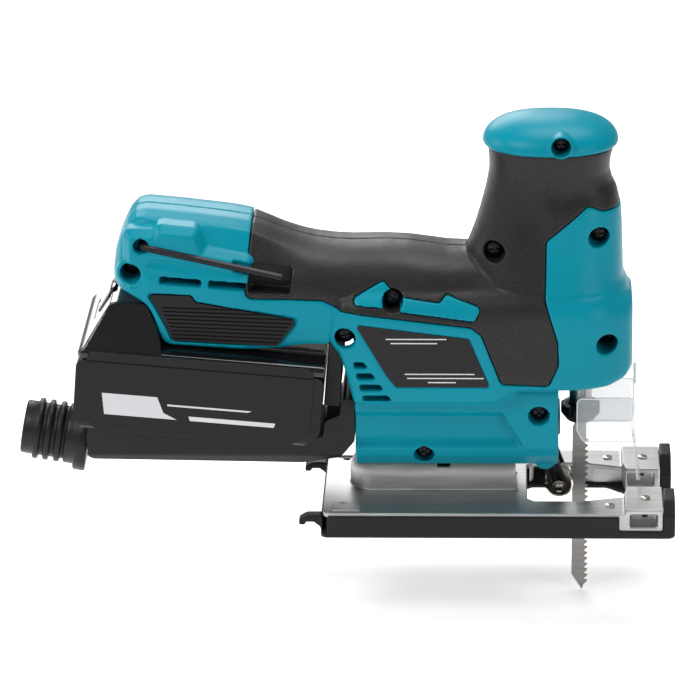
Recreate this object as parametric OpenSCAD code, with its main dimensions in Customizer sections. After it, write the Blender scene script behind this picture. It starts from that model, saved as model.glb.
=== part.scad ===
// Cordless barrel-grip jigsaw. The origin is the cut point: the blade's centre
// line where it crosses the sole. +X is the cutting direction, +Z is up.

/* [Shoe] */
// Rear end of the shoe
shoe_rear = -112; // [-113:0.5:-111]
// Front end of the shoe's steel plate
shoe_front = 36; // [35.5:0.25:36.5]
// Half the width of the steel plate
shoe_half = 37.5; // [37:0.25:38]
// Top face of the steel plate above the sole
plate_top = 11.2; // [11:0.1:11.4]
// Height of the bevel axis above the sole
tilt_z = 18; // [17.8:0.1:18.2]
// Outer radius of the ridge that the body tilts on
ridge_r = 10.5; // [10.3:0.1:10.6]

/* [Body] */
// Half the width of the barrel grip
grip_half = 29; // [28.8:0.1:29.4]
// Half the width around the motor
motor_half = 33; // [32.6:0.2:33.4]
// Half the width of the neck
neck_half = 24; // [23.8:0.1:24.4]
// Top of the neck, where the palm cap sits
neck_top = 170; // [169.5:0.25:170.5]
// Height of the palm cap
cap_h = 11.5; // [11:0.25:12]
// Thickness of the soft grip layer
skin = 2; // [1.8:0.1:2.2]

/* [Drive] */
// Height of the motor shaft
motor_z = 76.5; // [76.3:0.1:76.7]
// Outer radius of the motor
motor_r = 24; // [23.6:0.1:24]
// Teeth on the pinion
pinion_teeth = 8; // [8:1:8]
// Teeth on the crank gear
gear_teeth = 40; // [40:1:40]
// Travel of the plunger
stroke = 23; // [20:1:23]

/* [Blade] */
// Thickness of the blade
blade_t = 1.3; // [1:0.1:1.3]
// Distance between blade teeth
tooth_pitch = 2.7; // [2.6:0.05:2.8]
// Lowest point of the blade
blade_tip_z = -40.4; // [-41:0.2:-40]

/* [Battery] */
// Half the width of the battery
batt_half = 37.5; // [37:0.25:38]
// Slope of the battery rails in degrees, nose down
batt_tilt = 4.9; // [4.8:0.05:5]
// Height of the battery below its shoulder
batt_low = 38.5; // [38:0.25:38.5]

/* [Dust] */
// Half the width of the dust duct
duct_half = 20; // [19.5:0.25:20]
// Bore radius of the dust nozzle
nozzle_bore = 9.5; // [9:0.25:10]
// Rib radius of the dust nozzle
nozzle_rib = 13.5; // [13.2:0.1:13.8]

/* [Hidden] */
$fn = 48;

blade_cx = 0.3;
blade_back = -3.1;
pitch_mod = 1;
gear_z = motor_z + pitch_mod * (pinion_teeth + gear_teeth) / 2;
crank_r = stroke / 2;
pivot_x = -15.2;
pivot_z = 29.4;
roller_x = -8.9;
roller_z = 12.3;
bolt_x = -59.75;
plate_t = 2;
box_top = 13.2;
ridge_rear = -90.5;
ridge_wall = 2;
RIVETS = [[13, 28, plate_top], [28.5, 24, box_top]];
cap_cx = -13.5;
cap_straight = 5.2;
batt_origin = [-110.2, 0, 78.5];
cell_r = 8.3;
CELL_ROWS = [-27.1, -10.2];
nozzle_origin = [-216, 0, 32.1];
nozzle_tilt = 9.6;
dial_pos = [-165, 27, 122];
knob_pos = [-100, 28, 112];
lever_pos = [-20, 25, 48];
key_tail = [-188.8, 130.3];
key_head = [-128.6, 116.5];
key_y = -27.8;

// Screws: x, z, y of the head's seat, radius of the recess, radius of the inner boss
SCREWS = [
    [-193.7, 117.6, -19, 4.65, 4.5],
    [-101.6, 89.8, -24, 4.65, 4.6],
    [-81.1, 106, -24, 4.65, 4.4],
    [-37.5, 125.5, -16, 4.65, 3.2],
    [-18.1, 52, -18, 4.65, 4],
    [-68, 32.5, -14, 4.65, 4],
    [-9.2, 173.6, -15, 3.5, 3.2],
    [7.2, 132, -15, 4.65, 3.3],
    [10.9, 86.5, -19, 4.65, 4]
];

// ---- Outlines in the side view, as [x, z], anticlockwise
BARREL = [
    [-198, 104], [-186, 103], [-181, 87], [-108, 82], [-40, 82], [-40, 123.5],
    [-55, 122.5], [-72, 125], [-100, 125.5], [-116, 127.5], [-130, 132],
    [-142, 136.5], [-190, 141.5], [-196, 138], [-200, 128], [-202.2, 116], [-201, 108]
];
MOTOR_BLOCK = [
    [-97.5, 58.5], [-37.5, 58.5], [-27.5, 64.5], [12.5, 65.5], [21.5, 69],
    [22.4, 80], [22.2, 100], [18.3, 108], [18.3, 116], [-104, 116], [-107, 84], [-103, 79]
];
NECK = [
    [-50, 100], [22, 100], [18.2, 108], [17.5, 136], [16.2, 148.3], [13.9, 151.9],
    [12.1, 156], [12.1, 161], [13.7, 167], [13.7, neck_top], [-40.6, neck_top],
    [-40.6, 167], [-40.2, 158.6], [-41.7, 148.2], [-44.9, 137.8], [-48.4, 126.3], [-56, 120]
];
LOWER = [[-98, 26.2], [-9.6, 26.2], [-9.6, 59], [-12.8, 62], [-98, 62]];
FRONT_BLOCK = [[-21, 32], [-9.6, 32], [-9.6, 59], [-12.8, 66], [-34, 66], [-36.5, 59]];
GRIP_AREA = [
    [-144.6, 108.2], [-142.5, 106.4], [-111.2, 105.2], [-103.6, 101.6], [-47.4, 94.9],
    [-43.2, 91.5], [-34.6, 69], [-13.9, 68], [-9.7, 77.9], [-10.1, 88.5], [-15.5, 106.6],
    [-15.1, 131], [2.6, 145.8], [9, 142.8], [30, 142], [30, 200], [-141.5, 200],
    [-141.5, 142], [-144.6, 112.6]
];
ARROW = [
    [-101.4, 105], [-86.5, 103.9], [-76.2, 102], [-46, 98.1], [-43.2, 103.6],
    [-58.1, 108.3], [-60.9, 105.3], [-76.2, 107.3], [-82.9, 111.1], [-85, 113.7]
];
LABEL = [[-83.9, 73], [-80, 67.9], [-38.9, 67.9], [-48.2, 90.5], [-96.1, 96.7], [-96.5, 95]];
RIB_PANEL = [
    [-183.3, 103.1], [-178.5, 93.2], [-176.2, 87.5], [-130.7, 84.9], [-121.6, 97.1],
    [-165.7, 105.4], [-167.8, 108.4], [-187, 109.1]
];
KEY_WINDOW = [[-143.2, 109.2], [-125.4, 108.1], [-124.2, 119.4], [-143, 121.7]];

// ---- Cross-sections, as half outlines [y, z] from the bottom centre to the top
BARREL_SEC = [
    [grip_half, 70], [grip_half, 110], [27, 119.5], [20, 129.5], [9, 137.5]
];
MOTOR_SEC = [[20, 50], [33, 58.5], [motor_half, 104], [29.5, 111], [20, 118]];
LOWER_SEC = [[16.5, 26.2], [22.5, 32.2], [24.5, 36.6], [21, 39.6], [21, 50.7], [24, 63]];
FRONT_SEC = [[16.5, 26.2], [22.5, 32.2], [25, 37], [25, 70]];

function mirrored(half) = concat(
    half, [for (i = [len(half) - 1:-1:0]) [-half[i].x, half[i].y]]);

function unit(v) = v / norm(v);

// Moves every edge of an anticlockwise outline inwards by d
function inset(pts, d) = let (m = len(pts)) [
    for (i = [0:m - 1])
        let (u = unit(pts[i] - pts[(i + m - 1) % m]), v = unit(pts[(i + 1) % m] - pts[i]))
        let (n1 = [-u.y, u.x], n2 = [-v.y, v.x])
        pts[i] + (n1 + n2) * d / (1 + n1 * n2)
];

// One corner of an outline, turned into an arc of n steps
function corner(p0, p1, p2, r, n) =
    let (a = unit(p0 - p1), b = unit(p2 - p1), ang = acos(max(-0.9999, min(0.9999, a * b))))
    let (room = 0.45 * min(norm(p0 - p1), norm(p2 - p1)), t = min(r / tan(ang / 2), room))
    let (rr = t * tan(ang / 2), c = p1 + unit(a + b) * rr / sin(ang / 2))
    let (s = p1 + a * t - c, e = p1 + b * t - c)
    let (a0 = atan2(s.y, s.x), turn = atan2(e.y, e.x) - a0)
    let (d = turn > 180 ? turn - 360 : turn < -180 ? turn + 360 : turn)
    ang > 172 ? [p1] : [for (i = [0:n]) c + rr * [cos(a0 + d * i / n), sin(a0 + d * i / n)]];

function rounded(pts, r, n = 3) = let (m = len(pts)) [
    for (i = [0:m - 1]) each corner(pts[(i + m - 1) % m], pts[i], pts[(i + 1) % m], r, n)
];

function half_ellipse(a, b, n = 20) = [for (i = [0:n]) [a * cos(180 * i / n), b * sin(180 * i / n)]];

// Extrudes a side-view outline from y0 to y1
module side(pts, y0, y1)
    translate([0, y1, 0]) rotate([90, 0, 0]) linear_extrude(y1 - y0) polygon(pts);

// Extrudes a cross-section from x0 to x1
module section(pts, x0, x1)
    translate([x0, 0, 0]) rotate([90, 0, 90]) linear_extrude(x1 - x0) polygon(pts);

// A cylinder or tube along Y
module rod_y(x, z, r, y0, y1)
    translate([x, y1, z]) rotate([90, 0, 0]) cylinder(r = r, h = y1 - y0);

// A cylinder along X
module rod_x(z, r, x0, x1)
    translate([x0, 0, z]) rotate([0, 90, 0]) cylinder(r = r, h = x1 - x0);

module block(x0, x1, y0, y1, z0, z1)
    translate([x0, y0, z0]) cube([x1 - x0, y1 - y0, z1 - z0]);

module both_sides() {
    children();
    mirror([0, 1, 0]) children();
}

module batt_frame() translate(batt_origin) rotate([0, batt_tilt, 0]) children();

module nozzle_frame() translate(nozzle_origin) rotate([0, -90 + nozzle_tilt, 0]) children();

// ---- Outer form of the body, with every face moved inwards by d
module barrel_form(d) {
    intersection() {
        side(inset(rounded(BARREL, 6, 2), d), -40, 40);
        section(inset(mirrored(BARREL_SEC), d), -142, -40 - d);
    }
    intersection() {
        side(inset(rounded(BARREL, 6, 2), d), -40, 40);
        translate([-142, 0, 137.5]) rotate([0, 5.9, 0]) translate([142, 0, -137.5])
            section(inset(mirrored(BARREL_SEC), d), -210, -138);
    }
}

module motor_form(d) {
    intersection() {
        side(inset(rounded(MOTOR_BLOCK, 4, 2), d), -40, 40);
        section(inset(mirrored(MOTOR_SEC), d), -110, 30);
        translate([0, 0, 40]) linear_extrude(90)
            polygon(inset([[-112, -34], [2, -34], [13, -29], [20, -17], [22.6, -8],
                [22.6, 8], [20, 17], [13, 29], [2, 34], [-112, 34]], d));
    }
}

// One storey of the neck: a round-cornered plan between two heights
module neck_storey(d, x0, x1, r, z0, z1) {
    intersection() {
        side(inset(NECK, d), -40, 40);
        translate([0, 0, z0]) linear_extrude(z1 - z0)
            polygon(inset(rounded([[x0, -neck_half], [x1, -neck_half], [x1, neck_half],
                [x0, neck_half]], r, 5), d));
    }
}

module neck_form(d) {
    neck_storey(d, -60, 20, 17, 90, 122);
    neck_storey(d, -49, 17.8, 20, 118, 157);
    neck_storey(d, -40.5, 13.5, 23, 155, 180);
}

module lower_form(d) {
    intersection() {
        side(inset(LOWER, d), -40, 40);
        section(inset(mirrored(LOWER_SEC), d), -100, 0);
    }
    intersection() {
        side(inset(FRONT_BLOCK, d), -40, 40);
        section(inset(mirrored(FRONT_SEC), d), -100, 0);
    }
}

module body_form(d) {
    barrel_form(d);
    motor_form(d);
    neck_form(d);
    lower_form(d);
}

module half_space(side_sign)
    block(-260, 60, side_sign < 0 ? -60 : 0, side_sign < 0 ? 0 : 60, -10, 220);

module grip_layer() {
    difference() {
        intersection() {
            body_form(0);
            side(GRIP_AREA, -40, 40);
        }
        body_form(skin);
        side(ARROW, -50, 50);
    }
}

// Room inside the body for the motor, the drive, the dust tube and the electronics
module inner_room() {
    batt_frame() {
        block(-100, 12, -27.6, 27.6, -30, 23);
        block(-80, 6, -23, 23, 25, 41);
    }
    block(-112, -44, -22, 22, 97, 119);
    rod_x(motor_z, motor_r + 0.1, -99.5, -33);
    block(-36.5, 9.5, -20, 20, 60, 166.5);
    block(-36.5, 15.5, -27, 27, 67, 106);
    section([[-13, 31.5], [13, 31.5], [18, 36], [18, 62], [-18, 62], [-18, 36]], -94.5, -12.6);
    block(-9.4, 18, -16.5, 16.5, 50, 80);
    block(-99, -94, -11.2, 11.2, 37.2, 47.4);
    block(-13, -5, -11.7, 11.7, 36.4, 48.2);
}

module tilt_groove() rod_x(tilt_z, ridge_r + 0.4, -99, -22.6);

module louvres()
    for (i = [0:3])
        side([[-98 + i * 1.2, 77.2 - i * 4.6], [-93.5 + i * 3.1, 77.2 - i * 4.6],
            [-95.5 + i * 3.1, 79.6 - i * 4.6], [-98 + i * 1.2, 79.6 - i * 4.6]], -50, 50);

module rear_vents()
    batt_frame() for (x = [-73.5, -52.5]) block(x, x + 17.5, -50, 50, 29.5, 32);

module key_groove() {
    side(rounded([key_tail + [-3, -2.5], key_head + [2, -3], key_head + [2, 2.6],
        key_tail + [-3, 3.5]], 2, 2), -40, key_y + 2.2);
    rod_y(key_tail.x, key_tail.y, 2.6, key_y, -8);
}

module lobe(y0, y1) {
    rod_y(pivot_x, pivot_z, 6, y0, y1);
    block(pivot_x - 6, -9.6, y0, y1, pivot_z, pivot_z + 6);
}

module palm_post(y0, y1) {
    block(-12.2, -6.2, y0, y1, neck_top - 4, 173.6);
    rod_y(-9.2, 173.6, 3.2, y0, y1);
}

module housing_cuts() {
    inner_room();
    tilt_groove();
    louvres();
    rear_vents();
    side(RIB_PANEL, -40, 40);
    rod_y(pivot_x, pivot_z, 6.5, -11.7, 11.7);
    block(pivot_x, -5, -11.7, 11.7, 20, pivot_z + 6.5);
}

// Everything that the soft layer fills outside the hard core
module grip_room() {
    intersection() {
        side(GRIP_AREA, -40, 40);
        difference() {
            block(-160, 40, -41, 41, 60, 210);
            body_form(skin);
            side(ARROW, -50, 50);
        }
    }
}

module housing_half(s) {
    difference() {
        union() {
            difference() {
                intersection() {
                    body_form(0);
                    half_space(s);
                }
                housing_cuts();
            }
            for (k = SCREWS) housing_boss(k, s);
            if (s < 0) palm_post(-13, 0);
            if (s > 0) palm_post(0, 13);
            if (s < 0) lobe(-17.5, -11.8);
            if (s > 0) lobe(11.8, 17.5);
        }
        grip_room();
        for (k = SCREWS) housing_bore(k, s);
        rod_y(pivot_x, pivot_z, 2.05, -16, 16);
        translate([bolt_x, 0, 20]) cylinder(r = 2.8, h = 20);
    }
}

// A screw's boss: a wide cup behind the recess on the right, a pillar to the left wall
module housing_boss(k, s) {
    wall_y = k[0] < -150 ? 26 : k[1] > 110 ? 21.5 : k[1] < 40 ? 17 : k[1] < 60 ? 19 : 28;
    if (s < 0 && k[1] < 150) rod_y(k[0], k[1], k[3] + 1.1, k[2] - 3, k[2] + 2);
    if (s < 0 && k[1] < 150) rod_y(k[0], k[1], k[4], k[2], 0);
    if (s > 0 && k[1] < 150) rod_y(k[0], k[1], k[4], 0, wall_y);
}

module housing_bore(k, s) {
    if (s < 0) rod_y(k[0], k[1], k[3], -45, k[2]);
    if (s < 0) rod_y(k[0], k[1], 2, k[2] - 1, 1);
    if (s > 0) rod_y(k[0], k[1], 1.8, -1, 13);
}

module housing_right() {
    color("darkcyan") difference() {
        housing_half(-1);
        key_groove();
        side(KEY_WINDOW, -40, key_y + 2.2);
        side(LABEL, -40, -motor_half + 0.8);
    }
}

module housing_left() {
    color("darkcyan") difference() {
        housing_half(1);
        block(knob_pos.x - 10, knob_pos.x + 16, 18, 40, knob_pos.z - 4, knob_pos.z + 4);
        block(knob_pos.x - 10, knob_pos.x + 21, 29, 40, knob_pos.z - 5.5, knob_pos.z + 5.5);
        rod_y(dial_pos.x, dial_pos.z, 9.6, 22.5, 40);
        rod_y(dial_pos.x, dial_pos.z, 2.3, 18, 30);
        rod_y(lever_pos.x, lever_pos.z, 3.3, 10, 40);
    }
}

module grip_right() {
    color("dimgray") difference() {
        intersection() {
            grip_layer();
            half_space(-1);
        }
        for (k = SCREWS) rod_y(k[0], k[1], k[3] + 0.4, -45, -8);
        key_groove();
        side(KEY_WINDOW, -40, key_y + 2.2);
    }
}

module grip_left() {
    color("dimgray") difference() {
        intersection() {
            grip_layer();
            half_space(1);
        }
        block(knob_pos.x - 12, knob_pos.x + 18, 18, 40, knob_pos.z - 6, knob_pos.z + 6);
    }
}

module cap_form(a, b) {
    for (x = [-cap_straight, cap_straight])
        translate([cap_cx + x, 0, neck_top]) rotate_extrude($fn = 64)
            polygon(concat([[0, 0]], [for (i = [0:9]) [a * cos(10 * i), b * sin(10 * i)]]));
    translate([0, 0, neck_top])
        section(half_ellipse(a, b, 18), cap_cx - cap_straight, cap_cx + cap_straight);
}

module head_cap() {
    color("darkcyan") difference() {
        cap_form(neck_half, cap_h);
        translate([0, 0, -0.01]) cap_form(neck_half - 2.6, cap_h - 2.6);
        rod_y(-9.2, 173.6, 3.5, -45, -15);
        block(-12.8, -5.6, -15, -13, neck_top - 1, 177.4);
    }
}

module label_plate() {
    color("black") side(inset(LABEL, 0.2), -motor_half, -motor_half + 0.8);
}

// Cross-head screws with their heads in the recesses on the right
module housing_screws() {
    color("black") for (k = SCREWS) difference() {
        union() {
            rod_y(k[0], k[1], k[3] - 0.7, k[2] - 2.6, k[2]);
            rod_y(k[0], k[1], 1.75, k[2] - 1, 11);
        }
        block(k[0] - 2, k[0] + 2, k[2] - 4, k[2] - 1.4, k[1] - 0.4, k[1] + 0.4);
        block(k[0] - 0.4, k[0] + 0.4, k[2] - 4, k[2] - 1.4, k[1] - 2, k[1] + 2);
    }
}

// The battery's guide channel, with a grooved panel showing on each side
module rail_holder() {
    color("black") {
        batt_frame() difference() {
            block(-88, 0.9, -27.4, 27.4, 1.2, 22.6);
            block(-100, 3, -25, 25, -5, 19.2);
        }
        both_sides() difference() {
            side(inset(RIB_PANEL, 0.3), 27.4, 30.4);
            for (i = [0:6])
                side([[-176 + i * 1.6, 88.4 + i * 2.3], [-128 + i * 1.2, 86 + i * 1.9],
                    [-127.5 + i * 1.2, 86.9 + i * 1.9], [-175.5 + i * 1.6, 89.4 + i * 2.3]], 29.8, 32);
        }
    }
}

// ---- Drive
module gear_housing() {
    color("silver") difference() {
        union() {
            block(-33.5, -26.8, -19, 19, 62.2, 112);
            block(-33.5, -26.8, -12, 12, 111, 127);
            block(-27, -8, -8, 8, 122, 127);
            block(-9, 6.6, -8, 8, 119, 126.5);
            block(-27, -8, -8, 8, 62.2, 70);
            block(-9, 8.8, -9.5, 9.5, 61.6, 72.5);
        }
        rod_x(motor_z, 8.05, -34, -28);
        rod_x(motor_z, 6, -34, -26);
        rod_x(gear_z, 9.05, -34, -28);
        rod_x(gear_z, 6, -34, -26);
        translate([blade_cx, 0, 110]) cylinder(r = 5.3, h = 30);
        translate([blade_cx, 0, 55]) cylinder(r = 7.55, h = 30);
    }
}

module motor_bracket() {
    color("gray") difference() {
        rod_x(motor_z, motor_r, -98, -94.5);
        rod_x(motor_z, 8.05, -100, -94);
        rod_y(-101.6, 89.8, 6.3, -30, 30);
        for (a = [45:90:315])
            translate([-100, 0, motor_z]) rotate([a, 0, 0]) translate([0, 0, 15.5])
                rotate([0, 90, 0]) cylinder(r = 4, h = 10);
    }
}

module motor_stator() {
    color("dimgray") difference() {
        rod_x(motor_z, motor_r, -83, -46);
        rod_x(motor_z, 17.4, -84, -45);
    }
}

module rotor_core() {
    color("darkgray") difference() {
        rod_x(motor_z, 16.8, -80, -49);
        rod_x(motor_z, 4, -81, -48);
    }
}

module motor_shaft() color("lightgray") rod_x(motor_z, 4, -99, -27);

// A spur gear along X; teeth are plain tapered blocks with ample backlash
module spur(teeth, root_r, tip_r, root_w, tip_w, x0, x1, phase) {
    rod_x(0, root_r, x0, x1);
    for (i = [0:teeth - 1])
        rotate([phase + 360 * i / teeth, 0, 0])
            section([[-root_w / 2, root_r - 0.4], [root_w / 2, root_r - 0.4],
                [tip_w / 2, tip_r], [-tip_w / 2, tip_r]], x0, x1);
}

module pinion() {
    color("lightgray") translate([0, 0, motor_z])
        spur(pinion_teeth, 2.9, 4.75, 1.5, 0.5, -27, -15.5, 0);
}

module fan() {
    color("black") difference() {
        union() {
            rod_x(motor_z, 8, -93, -86);
            rod_x(motor_z, 22, -93, -91.5);
            for (a = [0:30:330])
                translate([0, 0, motor_z]) rotate([a, 0, 0]) block(-92, -86, -0.6, 0.6, 7, 21.8);
        }
        rod_x(motor_z, 4, -95, -85);
    }
}

// Inner and outer ring of a ball bearing along X, with its seals between them
module bearing(z, r_in, r_out, x0, x1) {
    color("silver") difference() {
        rod_x(z, r_out, x0, x1);
        rod_x(z, r_in, x0 - 1, x1 + 1);
        difference() {
            union() {
                rod_x(z, r_out - 1.3, x0 - 1, x0 + 0.4);
                rod_x(z, r_out - 1.3, x1 - 0.4, x1 + 1);
            }
            rod_x(z, r_in + 1.3, x0 - 2, x1 + 2);
        }
    }
}

module rear_bearing() bearing(motor_z, 4, 8, -97.9, -94.6);

module front_bearing() bearing(motor_z, 4, 8, -32.8, -28);

module gear_bearing() bearing(gear_z, 4, 9, -32.8, -28);

// The large gear with its shaft and the eccentric pin, which lies to the right
module crank_gear() {
    color("lightgray") translate([0, 0, gear_z]) {
        difference() {
            spur(gear_teeth, 18.9, 20.7, 1.45, 0.5, -22.5, -16, 180 / gear_teeth);
            for (a = [30:60:330])
                rotate([a, 0, 0]) translate([-23, 0, 12.5]) rotate([0, 90, 0])
                    cylinder(r = a == 90 ? 1 : 3, h = 8);
        }
        rod_x(0, 4, -32.8, -22);
        rod_x(0, 7, -24.5, -22);
        translate([-17, -crank_r, 0]) rotate([0, 90, 0]) cylinder(r = 2.5, h = 9.8);
    }
}

module crank_roller() {
    color("silver") translate([-15.4, -crank_r, gear_z]) rotate([0, 90, 0]) difference() {
        cylinder(r = 4.3, h = 8);
        translate([0, 0, -1]) cylinder(r = 2.55, h = 12);
    }
}

// The plunger: a rod with a cross-head whose slot faces the crank pin
module plunger() {
    color("lightgray") difference() {
        union() {
            translate([blade_cx, 0, 42.3]) cylinder(r = 5, h = 54);
            translate([blade_cx, 0, 95]) cylinder(r = 3.2, h = 43);
            block(-6.6, 3, -17.5, 17.5, gear_z - 6.6, gear_z + 6.6);
        }
        block(-8, -1.5, -16.3, 16.3, gear_z - 4.7, gear_z + 4.7);
        block(-6, 6, -0.75, 0.75, 40, 60.6);
    }
}

module bush(z0, z1, r_in, r_out) {
    color("peru") translate([blade_cx, 0, z0]) difference() {
        cylinder(r = r_out, h = z1 - z0);
        translate([0, 0, -1]) cylinder(r = r_in, h = z1 - z0 + 2);
    }
}

module upper_bush() bush(119, 126.5, 3.24, 5.3);

module lower_bush() bush(61.6, 72.5, 5.04, 7.55);

module clamp_sleeve() {
    color("dimgray") translate([blade_cx, 0, 0]) difference() {
        rotate_extrude() polygon([[5.3, 41.3], [6, 41.3], [8.6, 44.8], [8.6, 48.6], [5.3, 48.6]]);
        for (a = [0:30:330])
            rotate([0, 0, a]) translate([9.1, 0, 45.5]) cylinder(r = 0.9, h = 4);
    }
}

// T-shank blade; the teeth point up and face forwards
module blade() {
    teeth = [for (i = [0:25]) let (z = blade_tip_z + 2.4 + i * tooth_pitch)
        each [[2.2, z], [3.9, z + 1.7], [2.9, z + 2]]];
    tang = [[2.9, 44.4], [4.95, 44.6], [4.95, 47.6], [3, 47.8], [3, 57], [1.8, 59.6],
        [-1.2, 59.6], [-2.4, 57], [-2.4, 47.8], [-4.35, 47.6], [-4.35, 44.6],
        [-2.4, 44.4], [-2.4, 38.5], [blade_back, 37]];
    color("gray") side(concat([[blade_back, blade_tip_z + 7.4], [1.6, blade_tip_z]],
        teeth, tang), -blade_t / 2, blade_t / 2);
}

// ---- Blade guide roller
module roller_holder() {
    along = [roller_x - pivot_x, roller_z - pivot_z];
    reach = norm(along);
    color("black") difference() {
        union() {
            rod_y(pivot_x, pivot_z, 4.6, -11.4, 11.4);
            for (y = [-9.2, 6.6])
                translate([pivot_x, 0, pivot_z]) rotate([0, atan2(along.x, along.y), 0])
                    translate([0, y, 0]) {
                        block(-4, 3.4, 0, 2.6, 0, reach);
                        translate([-0.3, 2.6, reach]) rotate([90, 0, 0]) cylinder(r = 3.7, h = 2.6);
                    }
        }
        rod_y(pivot_x, pivot_z, 2.05, -12, 12);
        rod_y(roller_x, roller_z, 1.85, -12, 12);
    }
}

module roller() {
    color("silver") translate([roller_x, 6.2, roller_z]) rotate([90, 0, 0]) rotate_extrude()
        polygon([[1.86, 0], [5.4, 0], [6.2, 1], [6.2, 5.2], [5.5, 5.25], [5.5, 7.15],
            [6.2, 7.2], [6.2, 11.4], [5.4, 12.4], [1.86, 12.4]]);
}

module roller_pin() {
    color("silver") {
        rod_y(roller_x, roller_z, 1.8, -10.6, 9.3);
        rod_y(roller_x, roller_z, 2.6, 9.3, 10.3);
    }
}

module roller_ring() {
    color("silver") difference() {
        rod_y(roller_x, roller_z, 3.3, -10, -9.3);
        rod_y(roller_x, roller_z, 1.83, -11, -9);
    }
}

module holder_pivot() color("silver") rod_y(pivot_x, pivot_z, 2, -15.8, 15.8);

module change_lever() {
    color("dimgray") {
        rod_y(lever_pos.x, lever_pos.z, 3, 19.6, 26);
        rod_y(lever_pos.x, lever_pos.z, 7.2, 25.4, 29);
        translate([lever_pos.x, 29, lever_pos.z]) rotate([90, 0, 0]) linear_extrude(3)
            polygon(rounded([[0, -4.5], [0, 4.5], [-13, 3], [-13, -3]], 2, 3));
    }
}

// ---- Shoe
module fork_plan(half_rear, half_mid, half_tip, x_rear, x_front, x_mid) {
    polygon([
        [x_front + 1, -half_tip], [x_front + 1, half_tip], [21, half_tip], [19.5, half_mid],
        [x_mid, half_rear], [x_rear + 3, half_rear], [x_rear, half_rear - 3],
        [x_rear, -half_rear + 3], [x_rear + 3, -half_rear], [x_mid, -half_rear],
        [19.5, -half_mid], [21, -half_tip]
    ]);
}

module ridge(r, z0, x0) {
    rod_x(tilt_z, r, x0, -28);
    translate([x0, 0, tilt_z]) sphere(r = r);
    block(x0, -28, -r, r, z0, tilt_z);
    translate([x0, 0, z0]) cylinder(r = r, h = tilt_z - z0);
}

// Folded plate with a raised box at each fork tip and the hollow ridge that the body tilts on
module shoe_blank() {
    translate([0, 0, plate_top - plate_t]) linear_extrude(plate_t)
        polygon(rounded([[shoe_rear, -shoe_half], [shoe_front, -shoe_half],
            [shoe_front, shoe_half], [shoe_rear, shoe_half]], 3, 3));
    both_sides() {
        block(shoe_rear + 3, shoe_front, shoe_half - 1.8, shoe_half, 2, plate_top);
        block(19.5, shoe_front, 10.5, shoe_half, 2, box_top);
        block(-22, 19.5, 21.2, 22.7, 2, plate_top);
    }
    intersection() {
        ridge(ridge_r, plate_top - plate_t, ridge_rear);
        block(-110, -20, -30, 30, plate_top - plate_t, 40);
    }
}

module shoe_base() {
    color("silver") difference() {
        shoe_blank();
        translate([0, 0, -1]) linear_extrude(30)
            fork_plan(22.5, 17.4, 10.5, -23, shoe_front, 2);
        ridge(ridge_r - ridge_wall, -5, ridge_rear);
        both_sides() block(21.5, 33.5, 5, 50, 5, 11);
        both_sides() translate([-103.5, 26, 0]) cylinder(r = 1.5, h = 20);
        block(bolt_x - 2.9, bolt_x + 2.9, -9.9, 9.9, tilt_z + 4, 40);
        for (s = [-1, 1], p = RIVETS)
            translate([p.x, s * p.y, 0]) cylinder(r = 1.2, h = 30);
    }
}

module shoe_rivets() {
    color("silver") for (s = [-1, 1], p = RIVETS) {
        translate([p.x, s * p.y, p.z]) cylinder(r = 2, h = 0.7);
        translate([p.x, s * p.y, p.z - 2]) cylinder(r = 1.15, h = 2.1);
    }
}

module shoe_cover() {
    outer = shoe_half + 1;
    color("black") difference() {
        union() {
            linear_extrude(2) polygon(rounded([[shoe_rear - 1, -outer], [shoe_front + 5.1, -outer],
                [shoe_front + 5.1, outer], [shoe_rear - 1, outer]], 3, 3));
            both_sides() block(shoe_rear + 2, 17, shoe_half + 0.1, outer, 1, 10);
            both_sides() block(17, shoe_front + 1, shoe_half + 0.1, outer, 1, 3.5);
            block(shoe_rear - 1, shoe_rear - 0.1, -35, 35, 1, 8);
            both_sides() side([[shoe_rear - 1, 3], [shoe_rear - 1, 8.5], [-119, 8.5], [-122.5, 6.5],
                [-122.5, 4.2], [-120, 4.2], [-119.5, 5.5], [-116, 5.5]], 28, 34);
            both_sides() translate([shoe_front + 0.2, 0, 0]) rotate([90, 0, 90]) linear_extrude(4.9)
                polygon([[13, 1], [outer, 1], [outer, 11], [33, 16.5], [20, 16.5], [13, 9]]);
        }
        translate([0, 0, -1]) linear_extrude(30)
            fork_plan(19.4, 13, 10.2, -24, shoe_front + 8, 12.5);
        translate([bolt_x, 0, -1]) cylinder(r = 6, h = 5);
    }
}

// Curved plate that the bolt pulls up against the inside of the ridge
module shoe_clamp_plate() {
    color("silver") difference() {
        rod_x(tilt_z, ridge_r - ridge_wall - 0.3, bolt_x - 10, bolt_x + 10);
        rod_x(tilt_z, 5.6, bolt_x - 11, bolt_x + 11);
        block(bolt_x - 11, bolt_x + 11, -20, 20, 0, tilt_z + 5);
        translate([bolt_x, 0, 0]) cylinder(r = 2.6, h = 60);
    }
}

module shoe_bolt() {
    color("dimgray") translate([bolt_x, 0, 0]) difference() {
        union() {
            translate([0, 0, 18.4]) cylinder(r = 4.4, h = 4.5);
            translate([0, 0, 22.8]) cylinder(r = 2.5, h = 13.2);
        }
        translate([0, 0, 17]) cylinder(r = 2, h = 4.6, $fn = 6);
    }
}

module shoe_nut() {
    color("silver") translate([bolt_x, 0, 31.55]) rotate([0, 0, 30]) difference() {
        cylinder(r = 4.6, h = 4.4, $fn = 6);
        translate([0, 0, -1]) cylinder(r = 2.55, h = 7);
    }
}

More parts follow.
